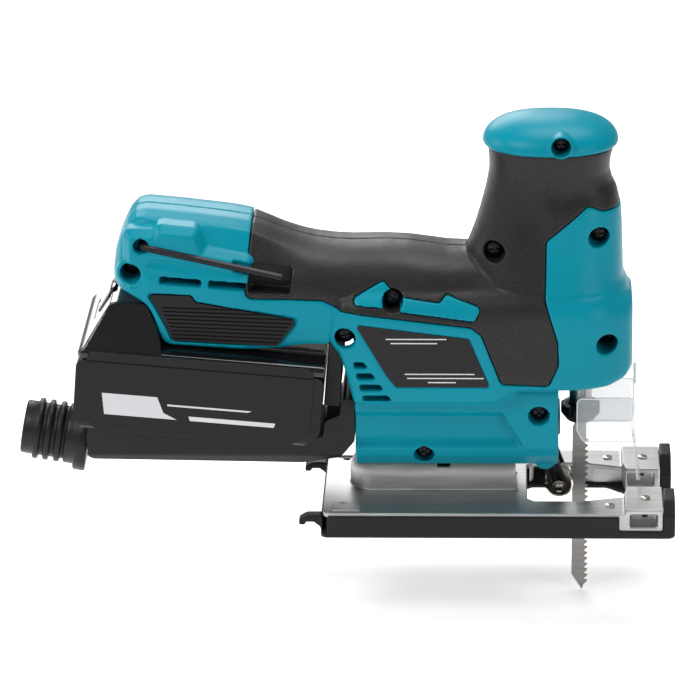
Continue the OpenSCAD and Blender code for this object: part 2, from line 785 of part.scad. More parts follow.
// ---- Clear guard in front of the blade
module blade_guard() {
    wall = 1.6;
    color("lightcyan") {
        block(22.9, 24.5, -13, 13, 35, 62);
        block(22.9, 24.5, -6, 6, 61, 69.5);
        both_sides() side(rounded([[-1.6, 40.5], [1.4, 35], [24, 35], [24, 55.5],
            [-1.6, 55.5]], 2, 2), 13 - wall, 13);
        side([[25.2, 13.3], [27, 13.3], [24.5, 36], [22.9, 36]], -3, 3);
    }
}

// ---- Dust path
module dust_intake() {
    color("black") difference() {
        section(rounded([[-11.5, 36.6], [11.5, 36.6], [11.5, 47.9], [-11.5, 47.9]], 5, 5), -12.4, -8.7);
        section(rounded([[-9, 38.5], [9, 38.5], [9, 46], [-9, 46]], 3, 4), -14, -7);
    }
}

module dust_tube() {
    color("dimgray") difference() {
        block(-96.5, -12.6, -11, 11, 37.4, 47.2);
        block(-100, -10, -9.5, 9.5, 38.6, 46);
    }
}

module dust_duct() {
    outline = [[-98.2, 38], [-98.2, 57], [-103.5, 58], [-104.8, 50], [-111.4, 47.2],
        [-112.2, 39.5], [-214.5, 48.2], [-215, 30], [-213, 28.4], [-121, 26.3], [-105, 30]];
    hollow = [[-97, 38.7], [-97, 46], [-110, 42.8], [-110, 37.5], [-212, 46], [-216, 46],
        [-216, 31], [-121, 28.6], [-106, 32.2]];
    flat = [[14, 24], [duct_half, 31.5], [duct_half, 60]];
    color("black") difference() {
        intersection() {
            side([for (i = [len(outline) - 1:-1:0]) outline[i]], -30, 30);
            section(mirrored(flat), -220, -90);
        }
        intersection() {
            side([for (i = [len(hollow) - 1:-1:0]) hollow[i]], -30, 30);
            section(mirrored([[12, 24], [duct_half - 2.2, 32], [duct_half - 2.2, 60]]), -220, -90);
        }
    }
}

module dust_nozzle() {
    ribs = [13.4, 18.3, 22.9];
    color("black") nozzle_frame() rotate_extrude() difference() {
        union() {
            translate([nozzle_bore, 3]) square([11.8 - nozzle_bore, 26.5]);
            translate([nozzle_bore, 1]) square([15.6 - nozzle_bore, 5]);
            translate([nozzle_bore, 5]) square([13.3 - nozzle_bore, 5.5]);
            for (s = ribs) translate([nozzle_bore, s - 1.2]) square([nozzle_rib - nozzle_bore, 2.4]);
        }
        square([nozzle_bore, 60]);
    }
}

// ---- Electrics
module controller() {
    color("darkgreen") batt_frame() {
        block(-72, -34, -18, 18, 27.2, 29);
        for (x = [-66, -52, -40]) block(x, x + 8, -10, 10, 28.9, 36);
    }
}

module switch_unit() {
    color("dimgray") block(-111, -88, -10, 9, 104.5, 117);
}

// Slide switch on the left, with a stem to the switch unit
module switch_knob() {
    color("black") translate([knob_pos.x, 0, 0]) {
        translate([0, 31.2, 0]) rotate([90, 0, 0]) linear_extrude(1.6)
            polygon(rounded([[-8, 107.6], [12, 107.6], [12, 116.4], [-8, 116.4]], 3, 4));
        for (x = [-5:3:7]) block(x, x + 1.2, 31, 32.2, 108.6, 115.4);
        block(-4, 4, 12, 30, 109.4, 114.6);
    }
}

module speed_dial() {
    color("dimgray") difference() {
        union() {
            rod_y(dial_pos.x, dial_pos.z, 9, 26.2, 29.6);
            rod_y(dial_pos.x, dial_pos.z, 2, 20, 27);
        }
        for (a = [0:30:330])
            translate([dial_pos.x, 0, dial_pos.z]) rotate([0, a, 0])
                block(8.2, 10, 25, 31, -0.8, 0.8);
    }
}

module terminal_block() {
    color("black") batt_frame() {
        block(-16, -1, -17, 17, 9, 19.2);
        for (y = [-12, 0, 12]) block(-32, -15, y - 0.5, y + 0.5, 11, 17);
    }
}

// ---- Battery, drawn in the frame of its rails
module battery_lower_case() {
    color("black") batt_frame() difference() {
        intersection() {
            side(rounded([[-107, -5.1], [-107, -30], [-100, -batt_low], [-7, -batt_low],
                [0, -31], [0, -5.1]], 3, 3), -50, 50);
            section(rounded([[-batt_half, 10], [-batt_half, -batt_low], [batt_half, -batt_low],
                [batt_half, 10]], 5, 4), -120, 10);
        }
        block(-104, -3, -batt_half + 3, batt_half - 3, -35.5, 1);
    }
}

module battery_upper_case() {
    color("black") batt_frame() difference() {
        intersection() {
            side([[-107, -5], [0, -5], [0, 18.4], [-94, 18.4], [-104.5, -1]], -50, 50);
            section(mirrored([[batt_half, -6], [batt_half, -1.5], [33, 0.6], [24.6, 0.8],
                [24.6, 18.4]]), -120, 10);
        }
        block(-97, -3, -21.5, 21.5, -10, 15.4);
        block(-104, -3, -batt_half + 3, batt_half - 3, -10, -1.6);
        block(-46, 2, -20, 20, 6, 22);
        block(-110, -93, -11, 11, 4, 30);
    }
}

module battery_cells() {
    color("steelblue") batt_frame() for (z = CELL_ROWS, i = [0:4])
        translate([-93.5 + i * 20.2, 32.6, z]) rotate([90, 0, 0]) cylinder(r = cell_r, h = 65.2);
}

module cell_holder() {
    color("dimgray") batt_frame() for (y = [-22, 18]) difference() {
        block(-103.8, -3.2, y, y + 4, -35.4, -1.7);
        for (z = CELL_ROWS, i = [0:4])
            translate([-93.5 + i * 20.2, y + 6, z]) rotate([90, 0, 0]) cylinder(r = cell_r + 0.1, h = 8);
    }
}

module battery_terminals() {
    color("goldenrod") batt_frame() for (y = [-12, 0, 12]) for (s = [-1, 1])
        block(-45.8, -26, y + s * 1.3 - 0.4, y + s * 1.3 + 0.4, 6, 16);
}

// Release button with its latch nose, in the sloped rear face of the battery
module release_button() {
    color("dimgray") batt_frame() {
        side([[-100.6, 7.5], [-95.5, 7.5], [-95.5, 14], [-96.4, 15.4]], -10.4, 10.4);
        side([[-96, 12], [-94, 12], [-94, 18.6], [-96, 17]], -7, 7);
    }
}

module release_spring() {
    color("silver") batt_frame() translate([-99, 0, 4]) difference() {
        cylinder(r = 1.9, h = 3.5);
        translate([0, 0, -1]) cylinder(r = 1.3, h = 6);
    }
}

// Hex key clipped along the right side, with its short arm in a hole
module hex_key() {
    along = key_head - key_tail;
    color("black") {
        translate([key_tail.x, key_y, key_tail.y]) rotate([0, 90 - atan2(along.y, along.x), 0])
            cylinder(r = 1.65, h = norm(along), $fn = 6);
        translate([key_tail.x, key_y - 1.4, key_tail.y]) rotate([-90, 0, 0])
            cylinder(r = 1.65, h = 16, $fn = 6);
    }
}

housing_right();
housing_left();
grip_right();
grip_left();
head_cap();
label_plate();
housing_screws();
rail_holder();
gear_housing();
motor_bracket();
motor_stator();
rotor_core();
motor_shaft();
pinion();
fan();
rear_bearing();
front_bearing();
gear_bearing();
crank_gear();
crank_roller();
plunger();
upper_bush();
lower_bush();
clamp_sleeve();
blade();
roller_holder();
roller();
roller_pin();
roller_ring();
holder_pivot();
change_lever();
shoe_base();
shoe_cover();
shoe_rivets();
shoe_clamp_plate();
shoe_bolt();
shoe_nut();
blade_guard();
dust_intake();
dust_tube();
dust_duct();
dust_nozzle();
controller();
switch_unit();
switch_knob();
speed_dial();
terminal_block();
battery_lower_case();
battery_upper_case();
battery_cells();
cell_holder();
battery_terminals();
release_button();
release_spring();
hex_key();
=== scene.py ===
"""Looks for the barrel-grip jigsaw. Lengths in the tables are millimetres in the frame's own axes."""
import math
import random

import bmesh
import bpy
import numpy as np
from mathutils import Matrix, Vector


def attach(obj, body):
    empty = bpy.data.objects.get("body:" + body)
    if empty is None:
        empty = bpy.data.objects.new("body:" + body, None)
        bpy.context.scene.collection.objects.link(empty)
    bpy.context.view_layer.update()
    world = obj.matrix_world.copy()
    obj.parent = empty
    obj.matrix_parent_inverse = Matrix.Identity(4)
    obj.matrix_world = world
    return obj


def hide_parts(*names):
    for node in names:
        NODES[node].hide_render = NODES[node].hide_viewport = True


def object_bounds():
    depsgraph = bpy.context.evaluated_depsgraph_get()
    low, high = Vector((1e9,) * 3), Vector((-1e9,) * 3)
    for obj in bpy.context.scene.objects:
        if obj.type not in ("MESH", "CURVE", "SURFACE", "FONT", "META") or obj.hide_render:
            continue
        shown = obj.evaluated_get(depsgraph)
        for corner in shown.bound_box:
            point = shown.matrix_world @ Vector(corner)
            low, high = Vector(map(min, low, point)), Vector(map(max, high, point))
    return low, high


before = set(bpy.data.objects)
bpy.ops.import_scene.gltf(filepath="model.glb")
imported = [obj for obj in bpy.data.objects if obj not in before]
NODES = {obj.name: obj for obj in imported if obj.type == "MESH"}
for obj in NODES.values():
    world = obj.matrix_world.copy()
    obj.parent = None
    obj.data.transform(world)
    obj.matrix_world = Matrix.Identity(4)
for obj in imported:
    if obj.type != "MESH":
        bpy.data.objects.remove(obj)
cad_low, cad_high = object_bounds()
MM = 0.001
rng = random.Random(7)


# ---------------------------------------------------------------- mesh helpers
def new_object(name, verts, faces, smooth=True):
    mesh = bpy.data.meshes.new(name)
    mesh.from_pydata([tuple(c * MM for c in v) for v in verts], [], faces)
    mesh.validate()
    obj = bpy.data.objects.new(name, mesh)
    bpy.context.scene.collection.objects.link(obj)
    bm = bmesh.new()
    bm.from_mesh(mesh)
    bmesh.ops.recalc_face_normals(bm, faces=bm.faces)
    bm.to_mesh(mesh)
    bm.free()
    for p in mesh.polygons:
        p.use_smooth = smooth
    return obj


def loft(name, rings, smooth=True):
    """Skins closed rings of equal length and caps both ends."""
    count = len(rings[0])
    verts = [p for ring in rings for p in ring]
    faces = []
    for r in range(len(rings) - 1):
        a, b = r * count, (r + 1) * count
        faces += [(a + i, a + (i + 1) % count, b + (i + 1) % count, b + i) for i in range(count)]
    faces.append(tuple(range(count)))
    faces.append(tuple(range(len(verts) - count, len(verts))))
    return new_object(name, verts, faces, smooth)


def prism(name, outline, low, high, axis="y", smooth=False):
    """Extrudes a 2-D outline: [x, z] along y, [y, z] along x, or [x, y] along z."""
    place = {"y": lambda p, t: (p[0], t, p[1]), "x": lambda p, t: (t, p[0], p[1]),
             "z": lambda p, t: (p[0], p[1], t)}[axis]
    return loft(name, [[place(p, low) for p in outline], [place(p, high) for p in outline]], smooth)


def lathe(name, profile, steps=96, smooth=True):
    """Turns [radius, height] about +Z; the profile is closed through the axis or on itself."""
    verts, faces, m = [], [], len(profile)
    for k in range(steps):
        a = 2 * math.pi * k / steps
        verts += [(r * math.cos(a), r * math.sin(a), z) for r, z in profile]
    for k in range(steps):
        a, b = k * m, ((k + 1) % steps) * m
        faces += [(a + i, a + (i + 1) % m, b + (i + 1) % m, b + i) for i in range(m)]
    obj = new_object(name, verts, faces, smooth)
    bm = bmesh.new()
    bm.from_mesh(obj.data)
    bmesh.ops.remove_doubles(bm, verts=bm.verts, dist=1e-7)
    bmesh.ops.dissolve_degenerate(bm, edges=bm.edges, dist=1e-7)
    bmesh.ops.recalc_face_normals(bm, faces=bm.faces)
    bm.to_mesh(obj.data)
    bm.free()
    return obj


def rounded(points, radius, steps=5):
    """Rounds the corners of a closed outline."""
    out, m = [], len(points)
    for i in range(m):
        p0, p1, p2 = (Vector(points[(i + k) % m]) for k in (-1, 0, 1))
        a, b = (p0 - p1), (p2 - p1)
        room = 0.45 * min(a.length, b.length)
        a.normalize()
        b.normalize()
        angle = a.angle(b)
        if angle > math.radians(174):
            out.append(tuple(p1))
            continue
        t = min(radius / math.tan(angle / 2), room)
        r = t * math.tan(angle / 2)
        centre = p1 + (a + b).normalized() * r / math.sin(angle / 2)
        s, e = p1 + a * t - centre, p1 + b * t - centre
        turn = s.angle_signed(e)
        for k in range(steps + 1):
            q = s.copy()
            q.rotate(Matrix.Rotation(-turn * k / steps, 2))
            out.append(tuple(centre + q))
    return out


def inset(points, d):
    """Moves every edge of a closed outline inwards by d."""
    m = len(points)
    area = sum(points[i][0] * points[(i + 1) % m][1] - points[(i + 1) % m][0] * points[i][1]
               for i in range(m))
    sign = 1 if area > 0 else -1
    out = []
    for i in range(m):
        p0, p1, p2 = (Vector(points[(i + k) % m]) for k in (-1, 0, 1))
        u, v = (p1 - p0).normalized(), (p2 - p1).normalized()
        n1, n2 = Vector((-u.y, u.x)) * sign, Vector((-v.y, v.x)) * sign
        out.append(tuple(p1 + (n1 + n2) * d / max(0.3, 1 + n1.dot(n2))))
    return out


def activate(obj):
    bpy.ops.object.select_all(action="DESELECT")
    obj.select_set(True)
    bpy.context.view_layer.objects.active = obj


def apply_modifiers(obj):
    activate(obj)
    graph = bpy.context.evaluated_depsgraph_get()
    mesh = bpy.data.meshes.new_from_object(obj.evaluated_get(graph))
    obj.modifiers.clear()
    old = obj.data
    obj.data = mesh
    bpy.data.meshes.remove(old)
    return obj


def boolean(obj, cutter, operation="DIFFERENCE", keep=False, solver="MANIFOLD"):
    """Cuts, joins or intersects, and removes the cutter unless it is kept."""
    mod = obj.modifiers.new("cut", "BOOLEAN")
    mod.operation = operation
    mod.solver = solver
    mod.object = cutter
    apply_modifiers(obj)
    if not keep:
        bpy.data.objects.remove(cutter)
    return obj


def copy_of(obj, name):
    new = obj.copy()
    new.data = obj.data.copy()
    new.name = name
    bpy.context.scene.collection.objects.link(new)
    return new


def join(objs, name):
    activate(objs[0])
    for o in objs:
        o.select_set(True)
    bpy.ops.object.join()
    objs[0].name = name
    return objs[0]


def remesh(obj, voxel, smooth_steps=2, factor=0.5):
    """Rebuilds the surface in even voxels and smooths it, which rounds the cut edges."""
    mod = obj.modifiers.new("voxel", "REMESH")
    mod.mode = "VOXEL"
    mod.voxel_size = voxel * MM
    if smooth_steps:
        soft = obj.modifiers.new("soft", "SMOOTH")
        soft.factor = factor
        soft.iterations = smooth_steps
    apply_modifiers(obj)
    for p in obj.data.polygons:
        p.use_smooth = True
    return obj


def bevel(obj, width, segments=3, angle=35):
    mod = obj.modifiers.new("edge", "BEVEL")
    mod.width = width * MM
    mod.segments = segments
    mod.limit_method = "ANGLE"
    mod.angle_limit = math.radians(angle)
    mod.harden_normals = True
    for p in obj.data.polygons:
        p.use_smooth = True
    return obj


def rod(name, x, z, r, y0, y1, steps=64):
    """A closed cylinder along Y."""
    ring = [(x + r * math.cos(2 * math.pi * k / steps), z + r * math.sin(2 * math.pi * k / steps))
            for k in range(steps)]
    return prism(name, ring, y0, y1)


def frame_line(name, outer, inner, y0, y1):
    """A thin closed band between two outlines of equal length."""
    loops = [[(x, y, z) for x, z in line] for line, y in ((outer, y0), (outer, y1), (inner, y1), (inner, y0))]
    m = len(outer)
    faces = [(a * m + i, a * m + (i + 1) % m, b * m + (i + 1) % m, b * m + i)
             for a, b in ((0, 1), (1, 2), (2, 3), (3, 0)) for i in range(m)]
    return new_object(name, [p for loop in loops for p in loop], faces, False)


def rod_x(name, z, r, x0, x1, steps=96):
    ring = [(r * math.cos(2 * math.pi * k / steps), z + r * math.sin(2 * math.pi * k / steps))
            for k in range(steps)]
    return prism(name, ring, x0, x1, "x")


def block(name, x0, x1, y0, y1, z0, z1):
    return prism(name, [(x0, z0), (x1, z0), (x1, z1), (x0, z1)], y0, y1)


def place(obj, matrix):
    obj.data.transform(matrix)
    return obj


def finish_piece(obj, body, slot, material, *nodes):
    obj.data.materials.clear()
    obj.data.materials.append(material)
    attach(obj, body)
    if nodes:
        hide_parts(*nodes)
    return obj


# ---------------------------------------------------------------- materials
def shader(name, colour, roughness, metallic=0.0, specular=0.5, coat=0.0, coat_rough=0.1):
    mat = bpy.data.materials.new(name)
    mat.use_nodes = True
    nt = mat.node_tree
    bsdf = nt.nodes["Principled BSDF"]
    bsdf.inputs["Base Color"].default_value = (*colour, 1)
    bsdf.inputs["Roughness"].default_value = roughness
    bsdf.inputs["Metallic"].default_value = metallic
    bsdf.inputs["Specular IOR Level"].default_value = specular
    bsdf.inputs["Coat Weight"].default_value = coat
    bsdf.inputs["Coat Roughness"].default_value = coat_rough
    return mat, nt, bsdf


def noise(nt, scale, detail=4.0, stretch=(1, 1, 1), roughness=0.55):
    coord = nt.nodes.new("ShaderNodeTexCoord")
    mapping = nt.nodes.new("ShaderNodeMapping")
    mapping.inputs["Scale"].default_value = stretch
    tex = nt.nodes.new("ShaderNodeTexNoise")
    tex.inputs["Scale"].default_value = scale
    tex.inputs["Detail"].default_value = detail
    tex.inputs["Roughness"].default_value = roughness
    nt.links.new(coord.outputs["Object"], mapping.inputs["Vector"])
    nt.links.new(mapping.outputs["Vector"], tex.inputs["Vector"])
    return tex.outputs["Fac"]


def ramp(nt, source, stops):
    node = nt.nodes.new("ShaderNodeValToRGB")
    node.color_ramp.elements[0].position = stops[0][0]
    node.color_ramp.elements[0].color = (*stops[0][1], 1)
    node.color_ramp.elements[1].position = stops[-1][0]
    node.color_ramp.elements[1].color = (*stops[-1][1], 1)
    for pos, col in stops[1:-1]:
        el = node.color_ramp.elements.new(pos)
        el.color = (*col, 1)
    nt.links.new(source, node.inputs["Fac"])
    return node.outputs["Color"]


def spread(nt, source, low, high):
    node = nt.nodes.new("ShaderNodeMapRange")
    node.inputs["To Min"].default_value = low
    node.inputs["To Max"].default_value = high
    nt.links.new(source, node.inputs["Value"])
    return node.outputs["Result"]


def bump(nt, bsdf, source, strength, distance):
    node = nt.nodes.new("ShaderNodeBump")
    node.inputs["Strength"].default_value = strength
    node.inputs["Distance"].default_value = distance * MM
    nt.links.new(source, node.inputs["Height"])
    nt.links.new(node.outputs["Normal"], bsdf.inputs["Normal"])


def shade(colour, k):
    return tuple(min(1, c * k) for c in colour)


def plastic(name, colour, roughness, grain=1400, grain_depth=0.02, specular=0.5, coat=0.0):
    """Moulded plastic: fine spark-eroded grain and faint tone drift."""
    mat, nt, bsdf = shader(name, colour, roughness, specular=specular, coat=coat)
    drift = noise(nt, 18, 3)
    nt.links.new(ramp(nt, drift, [(0.3, shade(colour, 0.94)), (0.7, shade(colour, 1.05))]),
                 bsdf.inputs["Base Color"])
    nt.links.new(spread(nt, noise(nt, 60, 4), roughness - 0.05, roughness + 0.06), bsdf.inputs["Roughness"])
    bump(nt, bsdf, noise(nt, grain, 2), 0.5, grain_depth)
    return mat


def elastomer(name, colour, roughness):
    """Soft grip: pebbled grain with small bright specks of light on it."""
    mat, nt, bsdf = shader(name, colour, roughness, specular=0.26)
    grain = noise(nt, 1500, 3, roughness=0.7)
    nt.links.new(ramp(nt, grain, [(0.35, shade(colour, 0.6)), (0.58, colour), (0.72, shade(colour, 2.1))]),
                 bsdf.inputs["Base Color"])
    nt.links.new(spread(nt, noise(nt, 300, 3), roughness - 0.08, roughness + 0.1), bsdf.inputs["Roughness"])
    bump(nt, bsdf, grain, 0.7, 0.09)
    return mat


def metal(name, colour, roughness, stretch=(1, 1, 1), scale=300, depth=0.01, contrast=0.12):
    """Metal with machining or rolling lines along the axis whose stretch is smallest."""
    mat, nt, bsdf = shader(name, colour, roughness, metallic=1.0)
    lines = noise(nt, scale, 5, stretch)
    nt.links.new(ramp(nt, lines, [(0.3, shade(colour, 1 - contrast)), (0.7, shade(colour, 1 + contrast))]),
                 bsdf.inputs["Base Color"])
    nt.links.new(spread(nt, lines, roughness - 0.08, roughness + 0.12), bsdf.inputs["Roughness"])
    bump(nt, bsdf, lines, 0.5, depth)
    return mat


def clear(name):
    mat, nt, bsdf = shader(name, (0.62, 0.65, 0.67), 0.08)
    bsdf.inputs["Alpha"].default_value = 0.34
    bsdf.inputs["IOR"].default_value = 1.5
    bump(nt, bsdf, noise(nt, 40, 3), 0.15, 0.05)
    return mat


TEAL_RGB = (0.0, 0.215, 0.29)
TEAL = plastic("teal plastic", TEAL_RGB, 0.34, grain=1600, grain_depth=0.012, specular=0.13)
GRIP = elastomer("soft grip", (0.016, 0.015, 0.016), 0.42)
BLACK = plastic("black plastic", (0.012, 0.012, 0.013), 0.42, grain=1500, grain_depth=0.02, specular=0.16)
DUCT = plastic("duct plastic", (0.01, 0.01, 0.011), 0.4, grain=1300, grain_depth=0.02, specular=0.22)
BATTERY = plastic("battery plastic", (0.007, 0.007, 0.008), 0.28, grain=1600, grain_depth=0.01, specular=0.2)
GLOSS = plastic("gloss black", (0.005, 0.005, 0.006), 0.12, grain=900, grain_depth=0.002,
                specular=0.3, coat=0.5)
LABEL = plastic("label film", (0.022, 0.021, 0.022), 0.42, grain=2000, grain_depth=0.004, specular=0.1)
STRIPE = plastic("light stripe", (0.55, 0.55, 0.57), 0.4, grain=1500, grain_depth=0.004)
DARK_STEEL = metal("black steel", (0.028, 0.028, 0.031), 0.38, scale=900, depth=0.005, contrast=0.3)
STEEL = metal("machined steel", (0.55, 0.55, 0.56), 0.28, (1, 1, 0.05), 700)
NICKEL = metal("nickel", (0.62, 0.59, 0.54), 0.16, (1, 0.05, 1), 500, 0.004)
ZINC = metal("zinc plate", (0.45, 0.45, 0.445), 0.42, (0.12, 1, 1), 420, 0.03, 0.14)
BLADE = metal("blade steel", (0.26, 0.245, 0.235), 0.42, (0.1, 1, 1), 500, 0.01, 0.14)
CAST = metal("cast aluminium", (0.5, 0.5, 0.52), 0.5, scale=900, depth=0.05)
DULL = metal("lamination", (0.2, 0.2, 0.21), 0.55, (0.02, 1, 1), 900, 0.03)
BRONZE = metal("bronze", (0.45, 0.28, 0.13), 0.35, scale=600, depth=0.01)
CLEAR = clear("clear guard")
# Light grey bands for the clear guard's outlines: a painted highlight standing in for the light caught along
# the clear sheet's edges.
EDGE_HIGHLIGHT = plastic("painted edge highlight", (0.8, 0.82, 0.84), 0.15, grain=600, grain_depth=0.002)
BOARD = plastic("circuit board", (0.01, 0.12, 0.05), 0.4)
CELL = plastic("cell wrap", (0.05, 0.16, 0.35), 0.25, grain=300, grain_depth=0.002)

CAD_LOOKS = {
    CAST: ["gear_housing", "motor_bracket"],
    DULL: ["motor_stator", "rotor_core"],
    STEEL: ["motor_shaft", "pinion", "crank_gear", "plunger", "shoe_clamp_plate", "shoe_nut",
            "release_spring"],
    NICKEL: ["rear_bearing", "front_bearing", "gear_bearing", "crank_roller", "roller",
             "roller_pin", "roller_ring", "holder_pivot", "shoe_rivets"],
    BRONZE: ["upper_bush", "lower_bush", "battery_terminals"],
    BLADE: ["blade"],
    ZINC: ["shoe_base"],
    BLACK: ["fan", "terminal_block", "switch_unit", "switch_knob", "speed_dial", "change_lever",
            "cell_holder", "dust_intake", "dust_tube", "shoe_cover"],
    DARK_STEEL: ["clamp_sleeve", "shoe_bolt", "roller_holder"],
    GLOSS: ["release_button"],
    BOARD: ["controller"],
    CELL: ["battery_cells"],
}
REMESHED = {"shoe_base": 0.4, "shoe_cover": 0.45}
BEVELLED = {"roller_holder": 0.3, "switch_knob": 0.3,
            "speed_dial": 0.3, "change_lever": 0.5, "dust_intake": 0.4, "clamp_sleeve": 0.25,
            "roller_pin": 0.25, "release_button": 0.4, "plunger": 0.2, "shoe_rivets": 0.2}
for material, names in CAD_LOOKS.items():
    for n in names:
        NODES[n].data.materials.clear()
        NODES[n].data.materials.append(material)
for n, width in BEVELLED.items():
    weld = NODES[n].modifiers.new("weld", "WELD")
    weld.merge_threshold = 1e-6
    bevel(NODES[n], width, 2, 30)
for n, voxel in REMESHED.items():
    mod = NODES[n].modifiers.new("voxel", "REMESH")
    mod.mode = "VOXEL"
    mod.voxel_size = voxel * MM
    mod.use_smooth_shade = True
    soft = NODES[n].modifiers.new("soft", "SMOOTH")
    soft.factor = 0.5
    soft.iterations = 2


# ---------------------------------------------------------------- body form
def along(table, t):
    """Smoothly reads a table of (position, value) rows."""
    xs, ys = [r[0] for r in table], [r[1] for r in table]
    return float(np.interp(t, xs, ys))


BARREL_TOP = [(-202.2, 116), (-201.2, 124), (-198.6, 131), (-195.5, 137.2), (-192, 140.6), (-188, 141.4),
              (-175, 140.2), (-160, 138.4), (-150, 137.1), (-142, 135.6), (-136, 133.4), (-130, 130.9),
              (-122, 128.2), (-115, 126.5), (-107, 125.4), (-100, 125), (-85, 125.3), (-75, 124.9),
              (-66, 123.6), (-58, 122.4), (-45, 121.8), (-28, 121)]
BARREL_LOW = [(-202.2, 113), (-201.2, 110.5), (-199.5, 109.3), (-194, 107.6), (-187, 103.6), (-184, 98.5),
              (-181.5, 90), (-179.8, 86.4), (-177, 85.3), (-130, 82.2), (-108, 82.2), (-28, 82)]
BARREL_HALF = [(-202.2, 11), (-201.2, 17), (-198.6, 22.5), (-194, 26.4), (-186, 28.6), (-150, 28.8),
               (-140, 28), (-125, 27.3), (-60, 27.3), (-28, 27)]
BLOCK_LOW = [(-107, 84.5), (-104, 81), (-102.6, 77), (-98.2, 59.4), (-97, 58.6), (-37.5, 58.6),
             (-27.5, 64.7), (-5, 65), (12, 66), (19, 68.4), (22.2, 72)]
BLOCK_TOP = [(-107, 104), (-103, 110), (-97, 113), (-40, 113.5), (-10, 112), (10, 110), (22.2, 103)]
BLOCK_HALF = [(-107, 28.6), (-103, 31), (-96, 32.8), (-10, 32.8), (2, 32.4), (7, 31.2), (12, 28.6),
              (16.5, 25.4), (20, 22), (21.6, 19.5), (22.2, 17)]
NECK = [  # z, rear x, front x, half width
    (80, -58, 22.2, 29), (100, -56, 22.1, 29), (106, -54, 20.4, 28.6), (111, -52, 18.3, 27.8),
    (117, -50.5, 18.1, 26.4), (123, -49.6, 17.9, 25.2), (127, -48, 17.8, 24.6), (132, -46.2, 17.6, 24),
    (138, -44.4, 17.3, 23.4), (144, -42.8, 16.6, 22.9), (149, -41.6, 15.4, 22.5), (153, -40.8, 13.4, 22.2),
    (158, -40.1, 12.2, 22), (163, -40.2, 12.6, 22.3), (167, -40.6, 13.6, 22.9), (169.7, -41, 14.2, 23.2)]
LOWER_SEC = [(16.5, 26.2), (22.5, 32.2), (24.5, 36.6), (21, 39.6), (21, 50.7), (26, 54), (26, 63)]
FRONT_SEC = [(16.5, 26.2), (22.5, 32.2), (25, 37), (25, 70)]
GRIP_AREA = [(-144.6, 108.2), (-142.5, 106.4), (-111.2, 105.2), (-103.6, 101.6), (-47.4, 94.9),
             (-43.2, 91.5), (-34.6, 69), (-13.9, 68), (-9.7, 77.9), (-10.1, 88.5), (-15.5, 106.6),
             (-15.1, 131), (2.6, 145.8), (9, 142.8), (30, 142), (30, 175), (-141.5, 175),
             (-141.5, 142), (-144.6, 112.6)]
ARROW = [(-101.4, 105), (-86.5, 103.9), (-76.2, 102), (-46, 98.1), (-43.2, 103.6),
         (-58.1, 108.3), (-60.9, 105.3), (-76.2, 107.3), (-82.9, 111.1), (-85, 113.7)]
LABEL_AREA = [(-83.9, 73), (-80, 67.9), (-38.9, 67.9), (-48.2, 90.5), (-96.1, 96.7), (-96.5, 95)]
# Plain bars printed on the label plate: x, z, length
LABEL_BARS = [(-84, 90.5, 26), (-82, 88.6, 20), (-76, 74.5, 30), (-75, 72.6, 33), (-66, 70.7, 12)]
RIB_PANEL = [(-183.3, 103.1), (-178.5, 93.2), (-176.2, 87.5), (-130.7, 84.9), (-121.6, 97.1),
             (-165.7, 105.4), (-167.8, 108.4), (-187, 109.1)]
KEY_WINDOW = [(-143.2, 109.2), (-125.4, 108.1), (-124.2, 119.4), (-143, 121.7)]
KEY_PAD = [(-193.6, 112), (-193.6, 134), (-184.4, 133.8), (-182.9, 131.3), (-180.4, 136), (-166.8, 134.5),
           (-163.3, 126.1), (-143.7, 122), (-143.7, 112)]
KEY_HOLLOW = [(-187, 122.6), (-183.9, 125.1), (-168.5, 123), (-144, 118.8), (-144, 116), (-163.5, 117),
              (-187.4, 121.4)]
# x, z, head seat y, recess radius
SCREWS = [(-193.7, 117.6, -14, 4.6), (-101.6, 89.8, -23.5, 4.6), (-81.1, 106, -22, 4.6),
          (-37.5, 125.5, -13.5, 4.6), (-18.1, 52, -18, 4.6), (-68, 32.5, -14.5, 4.5),
          (7.2, 132, -12, 4.5), (10.9, 86.5, -15, 4.6)]
CAP_SCREW = (-9.2, 173.6, -17, 4.2)
PIVOT = (-15.2, 29.4)
TILT_Z = 18
KEY_TAIL, KEY_HEAD, KEY_Y = (-188.8, 130.3), (-128.6, 116.5), -27.8
BATT_ORIGIN, BATT_TILT = (-110.2, 0, 78.5), 4.9
NOZZLE_ORIGIN, NOZZLE_TILT = (-216, 0, 32.1), 9.6
SIDES = {"right": -1, "left": 1}


def power(c, n):
    """A signed power, for rounded-square rings."""
    return math.copysign(abs(c) ** (2 / n), c)


def section_ring(x, low, widest, top, half, n_low, n_top, count=72):
    """A superellipse cross-section whose lower and upper halves have their own squareness."""
    ring = []
    for k in range(count):
        a = 2 * math.pi * k / count
        c, s = math.cos(a), math.sin(a)
        n = n_top if s >= 0 else n_low
        height = top - widest if s >= 0 else widest - low
        ring.append((x, half * power(c, n), widest + height * power(s, n)))
    return ring


def resample(ring, count):
    """Spaces the points of a closed 2-D ring evenly, starting where it crosses y = 0 at the bottom."""
    pts = np.array(ring + [ring[0]])
    steps = np.hypot(*np.diff(pts, axis=0).T)
    run = np.concatenate([[0], np.cumsum(steps)])
    t = np.linspace(0, run[-1], count, endpoint=False)
    return np.stack([np.interp(t, run, pts[:, 0]), np.interp(t, run, pts[:, 1])], 1)


def faceted_ring(low, top, half, count):
    """The barrel's rear section: flat ridge, two sloped facets and an upright side."""
    k = half / 29
    drop = min(1, (top - low - 2) / 38)
    side = [(29 * k, low), (29 * k, top - 26 * drop), (27 * k, top - 17 * drop), (17 * k, top - 1.8 * drop),
            (8 * k, top)]
    return resample([(0, low)] + rounded(side + [(-y, z) for y, z in reversed(side)], 2.2 * k, 4), count)


